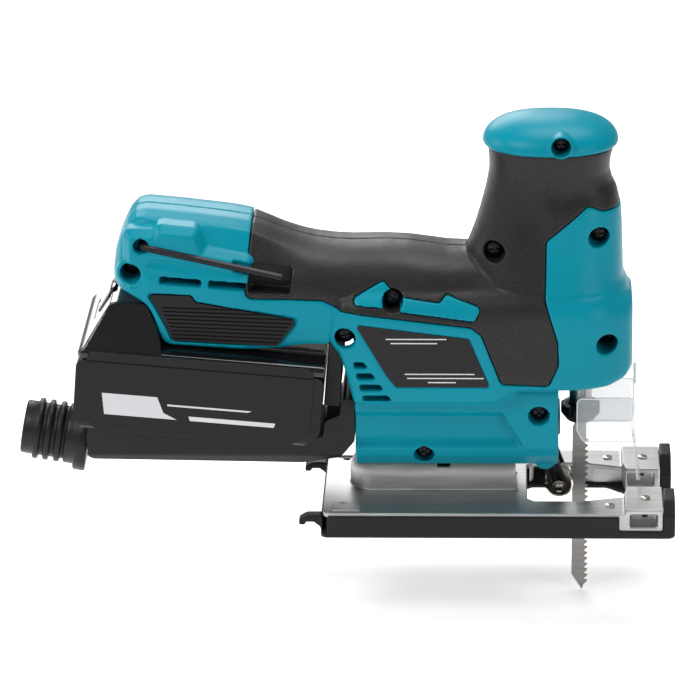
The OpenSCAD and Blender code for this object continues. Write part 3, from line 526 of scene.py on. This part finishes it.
def oval_ring(low, widest, top, half, count):
    ring = [(y, z) for _, y, z in section_ring(0, low, widest, top, half, 9, 2.35, 288)]
    start = min(range(len(ring)), key=lambda i: abs(ring[i][0]) + (ring[i][1] > widest) * 99)
    return resample(ring[start:] + ring[:start], count)


def barrel():
    rings, count = [], 168
    for x in np.concatenate([np.linspace(-202.2, -192, 14), np.linspace(-190, -176, 14),
                             np.linspace(-174, -28, 70)]):
        low, top, half = along(BARREL_LOW, x), along(BARREL_TOP, x), along(BARREL_HALF, x)
        widest = min(top - 3, max(low + 3, np.interp(x, [-200, -140, -60], [112, 107, 103])))
        w = np.interp(x, [-146, -118], [0, 1])
        flat = faceted_ring(low, top, half, count)
        oval = oval_ring(low, widest, top, half, count)
        rings.append([(x, y, z) for y, z in flat * (1 - w) + oval * w])
    return loft("barrel", rings)


def screw_bosses():
    """Round walls about the recesses that reach past the body's side."""
    return [rod("boss", -101.6, 89.8, 6.3, -28.9, -8), rod("boss", -193.7, 117.6, 6.2, -25.2, -8)]


def motor_block():
    rings = []
    for x in np.concatenate([np.linspace(-107, -95, 24), np.linspace(-92, -42, 18),
                             np.linspace(-40, 22.2, 44)]):
        low, top = along(BLOCK_LOW, x), along(BLOCK_TOP, x)
        rings.append(section_ring(x, low, low + 0.62 * (top - low), top, along(BLOCK_HALF, x), 14, 3.4))
    return loft("motor_block", rings)


def neck():
    rings = []
    columns = list(zip(*NECK))
    for z in np.linspace(80, 169.7, 60):
        rear, front, half = (float(np.interp(z, columns[0], columns[k])) for k in (1, 2, 3))
        centre, reach = (rear + front) / 2, (front - rear) / 2
        ring = []
        for k in range(72):
            a = 2 * math.pi * k / 72
            ring.append((centre + reach * power(math.cos(a), 2.7), half * power(math.sin(a), 2.5), z))
        rings.append(ring)
    return loft("neck", rings)


def mirrored(half):
    return half + [(-y, z) for y, z in reversed(half)]


def lower_body():
    long_box = prism("lower", mirrored(LOWER_SEC), -98, -9.6, "x")
    front = prism("front", mirrored(FRONT_SEC), -40, -9.6, "x")
    slope = prism("slope", [(-60, 20), (-20, 34), (-24.5, 37), (-37.5, 58.7), (-37.5, 80), (-60, 80)],
                  -40, 40)
    boolean(front, slope)
    return [long_box, front]


def swell(distance, reach):
    return math.exp(-(distance / reach) ** 2)


def sculpt(obj):
    """Presses soft hollows for the fingers into the neck and the barrel's root."""
    for v in obj.data.vertices:
        x, y, z = (c / MM for c in v.co)
        side = math.copysign(min(1, abs(y) / 8), y)
        front = 1 / (1 + math.exp(-(x + 16) / 5))
        press = 1.9 * swell(z - 154, 7.5) * front * (z < 169)
        press += 2.0 * math.exp(-((x + 22) / 7) ** 2 - ((z - 143) / 14) ** 2)
        press += 1.6 * math.exp(-((x + 2) / 9) ** 2 - ((z - 150) / 5) ** 2)
        press += 1.5 * math.exp(-((x + 48) / 13) ** 2 - ((z - 111) / 6) ** 2)
        press += 1.0 * math.exp(-((x + 92) / 20) ** 2 - ((z - 113) / 5) ** 2)
        v.co.y -= side * press * MM
    return obj


def body_solid():
    parts = [barrel(), motor_block(), neck(), *lower_body(), *screw_bosses()]
    return sculpt(remesh(join(parts, "body_solid"), 0.75, 3, 0.5))


def recess_cutter(k):
    """A screw recess: a straight hole whose bottom is the head's seat."""
    x, z, seat, r = k
    return rod("recess", x, z, r, -60, seat)


def tapered(name, outline, slope, depth, y_out):
    """A hollow with sloped walls: the outline at y_out, moved inwards by slope at the bottom."""
    low = inset(outline, slope)
    rings = [[(x, y_out - 12, z) for x, z in outline], [(x, y_out, z) for x, z in outline],
             [(x, y_out + depth, z) for x, z in low]]
    return loft(name, rings, False)


def key_pad():
    """Raised pad with chamfered edges that carries the hex key."""
    face = rounded(KEY_PAD, 0.6, 2)
    base = inset(face, -3.2)
    rings = [[(x, y, z) for x, z in ring] for y, ring in ((-27.9, face), (-23.4, base), (-15, base))]
    pad = loft("pad", rings, False)
    boolean(pad, tapered("hollow", KEY_HOLLOW, 1.2, 1.4, -27.9))
    return pad


def key_cutter(name):
    x1, z1 = KEY_HEAD
    outline = rounded([(-150, 119.2), (x1 + 3, z1 - 3), (x1 + 3, z1 + 2.6), (-150, 124)], 1)
    return prism(name, outline, -60, KEY_Y + 2.2)


def tail_hole():
    return rod("tail_hole", *KEY_TAIL, 3.4, -60, -21)


def batt(obj):
    """Moves a piece from the battery's own axes into the frame."""
    return place(obj, Matrix.Translation(Vector(BATT_ORIGIN) * MM)
                 @ Matrix.Rotation(math.radians(BATT_TILT), 4, "Y"))


def vent_cutters():
    """The two slots above the ribbed panels."""
    return [batt(prism("vent", rounded([(x, 28.9), (x + 18.2, 28.9), (x + 18.2, 32.2), (x, 32.2)], 0.8),
                       -60, 60))
            for x in (-74, -52.8)]


def louvre_cutters():
    """The four slanted openings beside the label."""
    cutters = []
    for i in range(4):
        z = 79.4 - i * 5.1
        left, right = -98.4 + i * 1.25, -93.6 + i * 3.4
        outline = [(left, z), (left + 0.8, z - 3), (right + 2, z - 3), (right, z)]
        cutters.append(prism("louvre", rounded(outline, 0.5), -60, -26))
    return cutters


def body_cutters():
    """What is cut from both the hard shell and the grip on the right."""
    return [recess_cutter(k) for k in SCREWS] + [tail_hole(), key_cutter("key_groove"),
            prism("key_window", rounded(KEY_WINDOW, 1.2), -60, -17)]


def cut_all(obj, cutters):
    for c in cutters:
        boolean(obj, c)
    return obj


def half_space(s):
    """A block that covers one side of the saw."""
    return block("half", -260, 60, *((-60, -0.04) if s < 0 else (0.04, 60)), -10, 220)


def knob_cutters():
    """The switch knob's slot and the way of its stem."""
    return [block("knob_slot", -112, -78, 27.2, 60, 106, 118),
            block("stem_slot", -104.7, -89.3, 11, 60, 108.8, 115.2)]


def rod_room():
    """Room in which the plunger's rod rises and falls."""
    return block("rod_room", -5.4, 6, -5.6, 5.6, 60, 156)


def head_room():
    """Room in which the plunger's cross-head rises and falls."""
    return block("head_room", -8, 4.4, -18.2, 18.2, 80, 121)


def dial_cutter():
    """The pocket of the speed dial."""
    return rod("dial_pocket", -165, 122, 9.7, 23, 60)


def shell(side, solid):
    """One half of the hard housing, without its arrow."""
    s = SIDES[side]
    obj = boolean(copy_of(solid, f"housing_{side}_shell"), half_space(s), "INTERSECT")
    boolean(obj, prism("grip_area", rounded(GRIP_AREA, 2.5), -60, 60))
    low, high = sorted((s * 11.8, s * 17.5))
    lobe_line = [(-21.2, 40), (-21.2, 29.4), (-18, 24), (-12.4, 24), (-9.4, 29.4), (-9.4, 40)]
    lobe = prism("lobe", rounded(lobe_line, 4, 8), low, high)
    boolean(obj, lobe, "UNION")
    cut_all(obj, [rod_x("groove", TILT_Z, 10.9, -99, -22.6),
                  block("nose_room", -9.3, 18, -16.5, 16.5, 40, 78),
                  rod("hub_room", *PIVOT, 6.5, -11.8, 11.8),
                  prism("panel_room", rounded(inset(RIB_PANEL, -0.3), 1.5), -60, -26.4),
                  prism("panel_room", rounded(inset(RIB_PANEL, -0.3), 1.5), 26.4, 60),
                  batt(block("battery_room", -110, 12, -26, 26, -60, 19.4))])
    if s < 0:
        boolean(obj, key_pad(), "UNION")
        cut_all(obj, body_cutters() + vent_cutters() + louvre_cutters())
        boolean(obj, prism("label_room", rounded(inset(LABEL_AREA, -0.2), 1), -60, -32.2))
    else:
        cut_all(obj, vent_cutters() + knob_cutters() + [dial_cutter()])
    cut_all(obj, [rod_room(), head_room()])
    return remesh(obj, 0.55, 2, 0.5)


def arrow(side, solid):
    """The raised arrow on one side of the grip."""
    s = SIDES[side]
    obj = boolean(copy_of(solid, f"arrow_{side}"), half_space(s), "INTERSECT")
    boolean(obj, prism("arrow_area", rounded(ARROW, 1.5), -60, 60), "INTERSECT")
    low, high = sorted((s * 20, s * 60))
    boolean(obj, block("outer", -120, -30, low, high, 80, 130), "INTERSECT")
    if s < 0:
        boolean(obj, recess_cutter(SCREWS[2]))
    else:
        cut_all(obj, knob_cutters())
    return remesh(obj, 0.45, 1, 0.5)


def grip(side, solid):
    """One half of the soft layer."""
    s = SIDES[side]
    obj = boolean(copy_of(solid, f"grip_{side}_layer"), half_space(s), "INTERSECT")
    boolean(obj, prism("grip_area", inset(rounded(GRIP_AREA, 2.5), 0.35), -60, 60), "INTERSECT")
    boolean(obj, prism("arrow_room", inset(rounded(ARROW, 1.5), -0.35), -60, 60))
    if s < 0:
        cut_all(obj, body_cutters())
    else:
        cut_all(obj, knob_cutters())
    boolean(obj, rod_room())
    return remesh(obj, 0.55, 2, 0.5)


def build_body():
    """Both housing halves with their arrows, and both grip layers, from one solid."""
    solid = body_solid()
    soft = copy_of(solid, "soft_solid")
    mod = soft.modifiers.new("sink", "DISPLACE")
    mod.strength = -0.3 * MM
    mod.mid_level = 0
    apply_modifiers(soft)
    for side in SIDES:
        hard = join([shell(side, solid), arrow(side, solid)], f"housing_{side}_shell")
        finish_piece(hard, "body", "teal_plastic", TEAL, f"housing_{side}")
        finish_piece(grip(side, soft), "body", "grip_rubber", GRIP, f"grip_{side}")
    bpy.data.objects.remove(solid)
    bpy.data.objects.remove(soft)


CAP_X = -13.5
CAP_FOOT_Z = 170
CAP_RISE = 11.5
CAP_HALF_WIDTH = 24
CAP_EXTRA_LENGTH = 5.2
CAP_SEGMENTS = 96


def head_cap():
    """The domed palm cap: below its foot the rings pull in a little, above it they close over."""
    rings = []
    for t in np.linspace(-0.12, 1, 26):
        z = CAP_FOOT_Z + CAP_RISE * math.sin(max(0, t) * math.pi / 2) + (t * 9 if t < 0 else 0)
        f = math.cos(max(0, t) * math.pi / 2) ** 0.82 if t < 0.999 else 0.02
        f = f * (1 + min(0, t) * 0.35)
        rings.append([(CAP_X + (CAP_EXTRA_LENGTH + CAP_HALF_WIDTH * f) * power(math.cos(a), 2.25),
                       CAP_HALF_WIDTH * f * power(math.sin(a), 2.2), z)
                      for a in (2 * math.pi * k / CAP_SEGMENTS for k in range(CAP_SEGMENTS))])
    obj = loft("palm_cap", rings)
    x, z = CAP_SCREW[:2]
    boolean(obj, rod("ring", x, z, 5.1, -24.4, -15), "UNION")
    boolean(obj, recess_cutter(CAP_SCREW))
    remesh(obj, 0.5, 2, 0.5)
    finish_piece(obj, "body", "teal_plastic", TEAL, "head_cap")


def screw_head(x, z, seat, radius):
    """A pan head with a crossed recess, facing right."""
    r = radius - 0.75
    profile = [(0, 2.5), (r * 0.45, 2.42), (r * 0.8, 2.0), (r * 0.97, 1.3), (r, 0.6), (r, 0), (0, 0)]
    head = lathe("head", profile, 48)
    for turn in (0, math.pi / 2):
        bar = prism("bar", [(-r * 0.62, 0.9), (r * 0.62, 0.9), (r * 0.72, 4), (-r * 0.72, 4)], -0.42, 0.42)
        place(bar, Matrix.Rotation(turn, 4, "Z"))
        boolean(head, bar)
    spin = Matrix.Rotation(rng.uniform(0, math.pi / 2), 4, "Z")
    place(head, Matrix.Translation(Vector((x, seat, z)) * MM) @ Matrix.Rotation(math.pi / 2, 4, "X") @ spin)
    return head


def screws():
    heads = [screw_head(*k) for k in [*SCREWS, CAP_SCREW]]
    obj = join(heads, "screw_heads")
    bevel(obj, 0.12, 2, 40)
    finish_piece(obj, "body", "black_steel", DARK_STEEL, "housing_screws")


def label():
    plate = prism("label_panel", rounded(inset(LABEL_AREA, 0.3), 1.2), -32.85, -32.2)
    finish_piece(plate, "body", "label_film", LABEL, "label_plate")
    bars = [prism("bar", [(x, z), (x + w, z), (x + w, z - 0.5), (x, z - 0.5)], -32.95, -32.8)
            for x, z, w in LABEL_BARS]
    marks = join(bars, "label_marks")
    finish_piece(marks, "body", "label_film", STRIPE)


def rib_panels():
    for side, s in SIDES.items():
        y0, y1 = sorted((s * 25, s * 28.2))
        plate = prism(f"rib_panel_{side}", rounded(inset(RIB_PANEL, 0.35), 1.4), y0, y1)
        for i in range(9):
            z = 88.4 + i * 1.75
            low, high = sorted((s * 27.5, s * 40))
            left, right = -175.4 - i * 0.62, -130.6 + i * 1.05
            line = [(left, z + 0.2), (right, z - 1.9), (right + 0.4, z - 1.25), (left - 0.3, z + 0.85)]
            groove = prism("groove", line, low, high)
            boolean(plate, groove)
        bevel(plate, 0.22, 2, 40)
        finish_piece(plate, "body", "black_plastic", BLACK, *(["rail_holder"] if s < 0 else []))
    ceiling = batt(block("rail_channel", -78, 8, -25.8, 25.8, 19.2, 25))
    bevel(ceiling, 0.8, 2)
    finish_piece(ceiling, "body", "black_plastic", BLACK)
    front = batt(block("channel_front", 0.7, 7.5, -27.5, 27.5, -21, 9))
    bevel(front, 0.8, 2)
    finish_piece(front, "body", "black_plastic", BLACK)


def hex_key():
    """Hexagonal bar: the long arm, a round bend and the short arm into its hole."""
    (x0, z0), (x1, z1) = KEY_TAIL, KEY_HEAD
    path = [Vector((x1, KEY_Y, z1))]
    direction = Vector((x0 - x1, 0, z0 - z1)).normalized()
    corner, bend = Vector((x0, KEY_Y, z0)), 3.2
    for k in range(9):
        a = math.pi / 2 * k / 8
        path.append(corner - direction * bend * (1 - math.sin(a)) + Vector((0, bend * (1 - math.cos(a)), 0)))
    path.append(corner + Vector((0, 15, 0)))
    rings = []
    for i, p in enumerate(path):
        t = (path[min(i + 1, len(path) - 1)] - path[max(i - 1, 0)]).normalized()
        up = Vector((-direction.z, 0, direction.x))
        across = t.cross(up).normalized()
        rings.append([p + (up * math.cos(a) + across * math.sin(a)) * 1.65
                      for a in (math.pi / 3 * k for k in range(6))])
    obj = loft("hex_wrench", rings, False)
    bevel(obj, 0.25, 2, 30)
    finish_piece(obj, "key", "black_steel", DARK_STEEL, "hex_key")


# ---------------------------------------------------------------- battery and dust path
def battery_side(name, x0, x1, half):
    outline = [(x0, -5.3), (x0, -33), (x0 + 4.5, -38.5), (x1 - 7, -38.5), (x1, -31), (x1, -5.3)]
    return prism(name, rounded(outline, 3.5, 6), -half, half)


def battery_low():
    low = battery_side("battery_tray", -107, 0, 36.6)
    corner = prism("corner", rounded(mirrored([(36.6, -38.5), (36.6, 10)]), 6, 8), -130, 20, "x")
    boolean(low, corner, "INTERSECT")
    panel_line = rounded([(-102.6, -0.8), (-102.6, -31), (-97.5, -36.6), (-11.5, -36.6), (-4.4, -29.5),
                          (-4.2, -0.8)], 4.5, 8)
    panel = prism("panel", panel_line, -37.5, 37.5)
    groove = prism("groove", [(-110, -5.5), (5, -5.5), (5, -4.7), (-110, -4.7)], -40, 40)
    boolean(groove, block("core", -120, 10, -37, 37, -20, 0))
    boolean(panel, groove)
    bevel(panel, 0.45, 3, 30)
    bevel(low, 0.5, 3, 30)
    finish_piece(batt(panel), "battery", "black_plastic", BATTERY)
    finish_piece(batt(low), "battery", "black_plastic", BATTERY, "battery_lower_case")


def battery_top():
    """Glossy upper case: a high sloped hill at the rear, a low shoulder and the rail block."""
    top_line = [(-107, -4.8), (0, -4.8), (0, 18.4), (-92, 18.4), (-94.5, 17.6), (-104.6, -0.8),
                (-106.8, -2.8)]
    top = prism("battery_top", top_line, -37.5, 37.5)
    narrow = [(36.7, -6), (36.7, -2.2), (35.9, -0.8), (34.4, -0.1), (32, 0.3), (27.5, 0.5), (24.6, 1),
              (24.6, 18.4)]
    wide = [(36.7, -6), (36.7, -2.2), (35.7, 0), (33.8, 2.4), (31.6, 5.4), (29.4, 9), (27.4, 13.4),
            (26.2, 18.4)]
    boolean(top, prism("rail", mirrored(narrow), -130, 20, "x"), "INTERSECT")
    hill = prism("hill", [(-107, -4.8), (-70.8, -4.8), (-70.8, 1.6), (-74, 10), (-78.8, 18.4), *top_line[3:]],
                 -37.5, 37.5)
    boolean(hill, prism("flank", mirrored(wide), -130, 20, "x"), "INTERSECT")
    boolean(top, hill, "UNION")
    boolean(top, block("button_room", -110, -93, -11, 11, 4, 30))
    plan = [(-107, -37.5), (6, -37.5), (6, 37.5), (-107, 37.5)]
    corners = prism("corners", rounded(plan, 5, 8), -20, 30, "z")
    boolean(top, corners, "INTERSECT")
    remesh(top, 0.5, 4, 0.6)
    finish_piece(batt(top), "battery", "gloss_black", GLOSS, "battery_upper_case")


def battery_marks():
    """Plain printed bars on the side panel."""
    bars = [prism("battery_mark", outline, -37.62, -37.48) for outline in (
        [(-95, -19.5), (-93.5, -29.2), (-62, -29.2), (-68, -26.5), (-71, -19.5)],
        [(-66.5, -22.4), (-30, -22.4), (-31.5, -23.2), (-66.5, -23.2)],
        [(-57, -27.2), (-56.4, -29.2), (-20, -29.2), (-19.4, -27.2)])]
    marks = batt(join(bars, "battery_marks"))
    finish_piece(marks, "battery", "gloss_black", STRIPE)


def battery():
    battery_low()
    battery_top()
    battery_marks()


def nozzle():
    profile = [(9.5, 0), (15.4, 0.4), (15.6, 1.2), (15.6, 5), (15, 5.8), (13.3, 6), (13.3, 9.8), (12.9, 10.4),
               (11.8, 10.6)]
    for s in (13.4, 18.3, 22.9):
        profile += [(11.8, s - 1.6), (12.2, s - 1.45), (13.2, s - 1.1), (13.5, s - 0.7), (13.5, s + 0.7),
                    (13.2, s + 1.1), (12.2, s + 1.45), (11.8, s + 1.6)]
    profile += [(11.8, 28.6), (11.5, 29.3), (10.9, 29.6), (10, 29.6), (9.5, 29.2)]
    obj = lathe("dust_spout", profile, 96)
    place(obj, Matrix.Translation(Vector(NOZZLE_ORIGIN) * MM)
          @ Matrix.Rotation(math.radians(NOZZLE_TILT - 90), 4, "Y"))
    finish_piece(obj, "body", "black_plastic", DUCT, "dust_nozzle")


def duct():
    outline = [(-98.3, 38), (-98.3, 57), (-103.5, 58), (-104.8, 50), (-111.3, 47.2), (-112.2, 39.5),
               (-214.5, 48.2), (-215.6, 40), (-215.4, 30), (-213, 28.4), (-121, 26.3), (-105, 30)]
    obj = prism("dust_channel", rounded(outline, 2, 4), -20, 20)
    flat = prism("flat", rounded(mirrored([(14, 24), (20, 31.5), (20, 62)]), 3, 5), -230, -80, "x")
    boolean(obj, flat, "INTERSECT")
    boolean(obj, block("mouth", -240, -206, -9, 9, 31.5, 41))
    bevel(obj, 0.5, 2, 40)
    finish_piece(obj, "body", "black_plastic", DUCT, "dust_duct")


def guard():
    """Bent clear sheet: two side plates, the front wall, its tab and the leg."""
    wall = block("guard", 22.9, 24.5, -13, 13, 35, 62)
    parts = [block("tab", 22.9, 24.5, -6, 6, 60, 69.5)]
    side = rounded([(-1.6, 40.5), (1.4, 35), (24, 35), (24, 55.5), (-1.6, 55.5)], 2.5)
    for y0, y1 in ((-13, -11.4), (11.4, 13)):
        parts.append(prism("plate", side, y0, y1))
    parts.append(prism("leg", [(25.2, 13.3), (27, 13.3), (24.5, 37), (22.9, 37)], -3, 3))
    for p in parts:
        boolean(wall, p, "UNION")
    bevel(wall, 0.35, 2, 40)
    finish_piece(wall, "guard", "clear_guard", CLEAR, "blade_guard")
    # Thin light bands on the guard's outlines: painted highlight along the clear sheet's edges.
    edges = [frame_line("edge", side, inset(side, 0.45), y, y + 0.12) for y in (-13.06, 12.94)]
    edges.append(block("edge", 23.2, 24.2, -6, -5.6, 60, 69.5))
    edges.append(prism("edge", [(25.2, 13.3), (26, 13.3), (23.6, 37), (22.9, 37)], -3.08, -2.9))
    finish_piece(join(edges, "guard_edge_highlights"), "guard", "clear_guard", EDGE_HIGHLIGHT)


def shoe_pads():
    """Low pads pressed up in the rear corners of the plate."""
    pads = []
    for s in SIDES.values():
        outline = rounded([(-108.5, s * 28), (-98.5, s * 28), (-95.5, s * 31), (-95.5, s * 35.5),
                           (-108.5, s * 35.5)], 1.8)
        pads.append(prism("pad", outline, 10.6, 12.1, "z"))
    pads = join(pads, "shoe_pads")
    bevel(pads, 0.5, 3, 40)
    finish_piece(pads, "shoe", "zinc_steel", ZINC)


# ---------------------------------------------------------------- stage
def stage():
    floor_z = cad_low.z - 0.0006
    size = 6.0
    mesh = bpy.data.meshes.new("floor")
    mesh.from_pydata([(-size, -size, floor_z), (size, -size, floor_z), (size, size, floor_z),
                      (-size, size, floor_z)],
                     [], [(0, 1, 2, 3)])
    floor = bpy.data.objects.new("floor", mesh)
    bpy.context.scene.collection.objects.link(floor)
    mat, nt, bsdf = shader("floor", (0.93, 0.93, 0.93), 0.6, specular=0.1)
    nt.links.new(ramp(nt, noise(nt, 3, 2), [(0.3, (0.92, 0.92, 0.92)), (0.7, (0.94, 0.94, 0.94))]),
                 bsdf.inputs["Base Color"])
    bsdf.inputs["Emission Color"].default_value = (1, 1, 1, 1)
    bsdf.inputs["Emission Strength"].default_value = 0.35
    mesh.materials.append(mat)


def area_light(name, location, target, size, power, shape=1.0):
    data = bpy.data.lights.new(name, "AREA")
    data.shape = "RECTANGLE"
    data.size = size
    data.size_y = size * shape
    data.energy = power
    obj = bpy.data.objects.new(name, data)
    bpy.context.scene.collection.objects.link(obj)
    obj.location = location
    obj.rotation_mode = "QUATERNION"
    obj.rotation_quaternion = (Vector(target) - Vector(location)).to_track_quat("-Z", "Y")


def lights():
    world = bpy.data.worlds.new("studio")
    world.use_nodes = True
    world.node_tree.nodes["Background"].inputs["Color"].default_value = (1, 1, 1, 1)
    world.node_tree.nodes["Background"].inputs["Strength"].default_value = 0.28
    bpy.context.scene.world = world
    bpy.context.scene.view_settings.view_transform = "Standard"
    middle = (-0.09, 0, 0.08)
    area_light("key", (-0.75, -0.7, 1.1), middle, 0.6, 10.5)
    area_light("top", (0.1, 0.25, 1.2), middle, 0.7, 10)
    area_light("fill", (0.9, -0.9, 0.35), middle, 0.5, 3.5)
    area_light("rear", (-1.2, 0.1, 0.5), middle, 0.5, 4)
    area_light("rim", (-0.3, 1.0, 0.6), middle, 0.6, 5)


CAMERA_AT = (-0.03180, -1.76080, 0.73283)
CAMERA_YAW, CAMERA_PITCH, CAMERA_ROLL = 0.0396, 0.3578, -0.0117
LENS_MM = 222.26


def camera():
    """The camera fitted to the photo's angle."""
    cy, sy = math.cos(CAMERA_YAW), math.sin(CAMERA_YAW)
    cp, sp = math.cos(CAMERA_PITCH), math.sin(CAMERA_PITCH)
    ahead = Vector((-sy * cp, cy * cp, -sp))
    right = Vector((cy, sy, 0))
    up = right.cross(ahead)
    cr, sr = math.cos(CAMERA_ROLL), math.sin(CAMERA_ROLL)
    x_axis, y_axis = right * cr + up * sr, up * cr - right * sr
    data = bpy.data.cameras.new("camera")
    data.sensor_width = 36
    data.lens = LENS_MM
    data.clip_start, data.clip_end = 0.05, 50
    obj = bpy.data.objects.new("camera", data)
    bpy.context.scene.collection.objects.link(obj)
    basis = Matrix((x_axis, y_axis, -ahead)).transposed().to_4x4()
    obj.matrix_world = Matrix.Translation(Vector(CAMERA_AT)) @ basis
    bpy.context.scene.camera = obj


camera()
build_body()
head_cap()
screws()
label()
rib_panels()
hex_key()
battery()
nozzle()
duct()
guard()
shoe_pads()
stage()
lights()
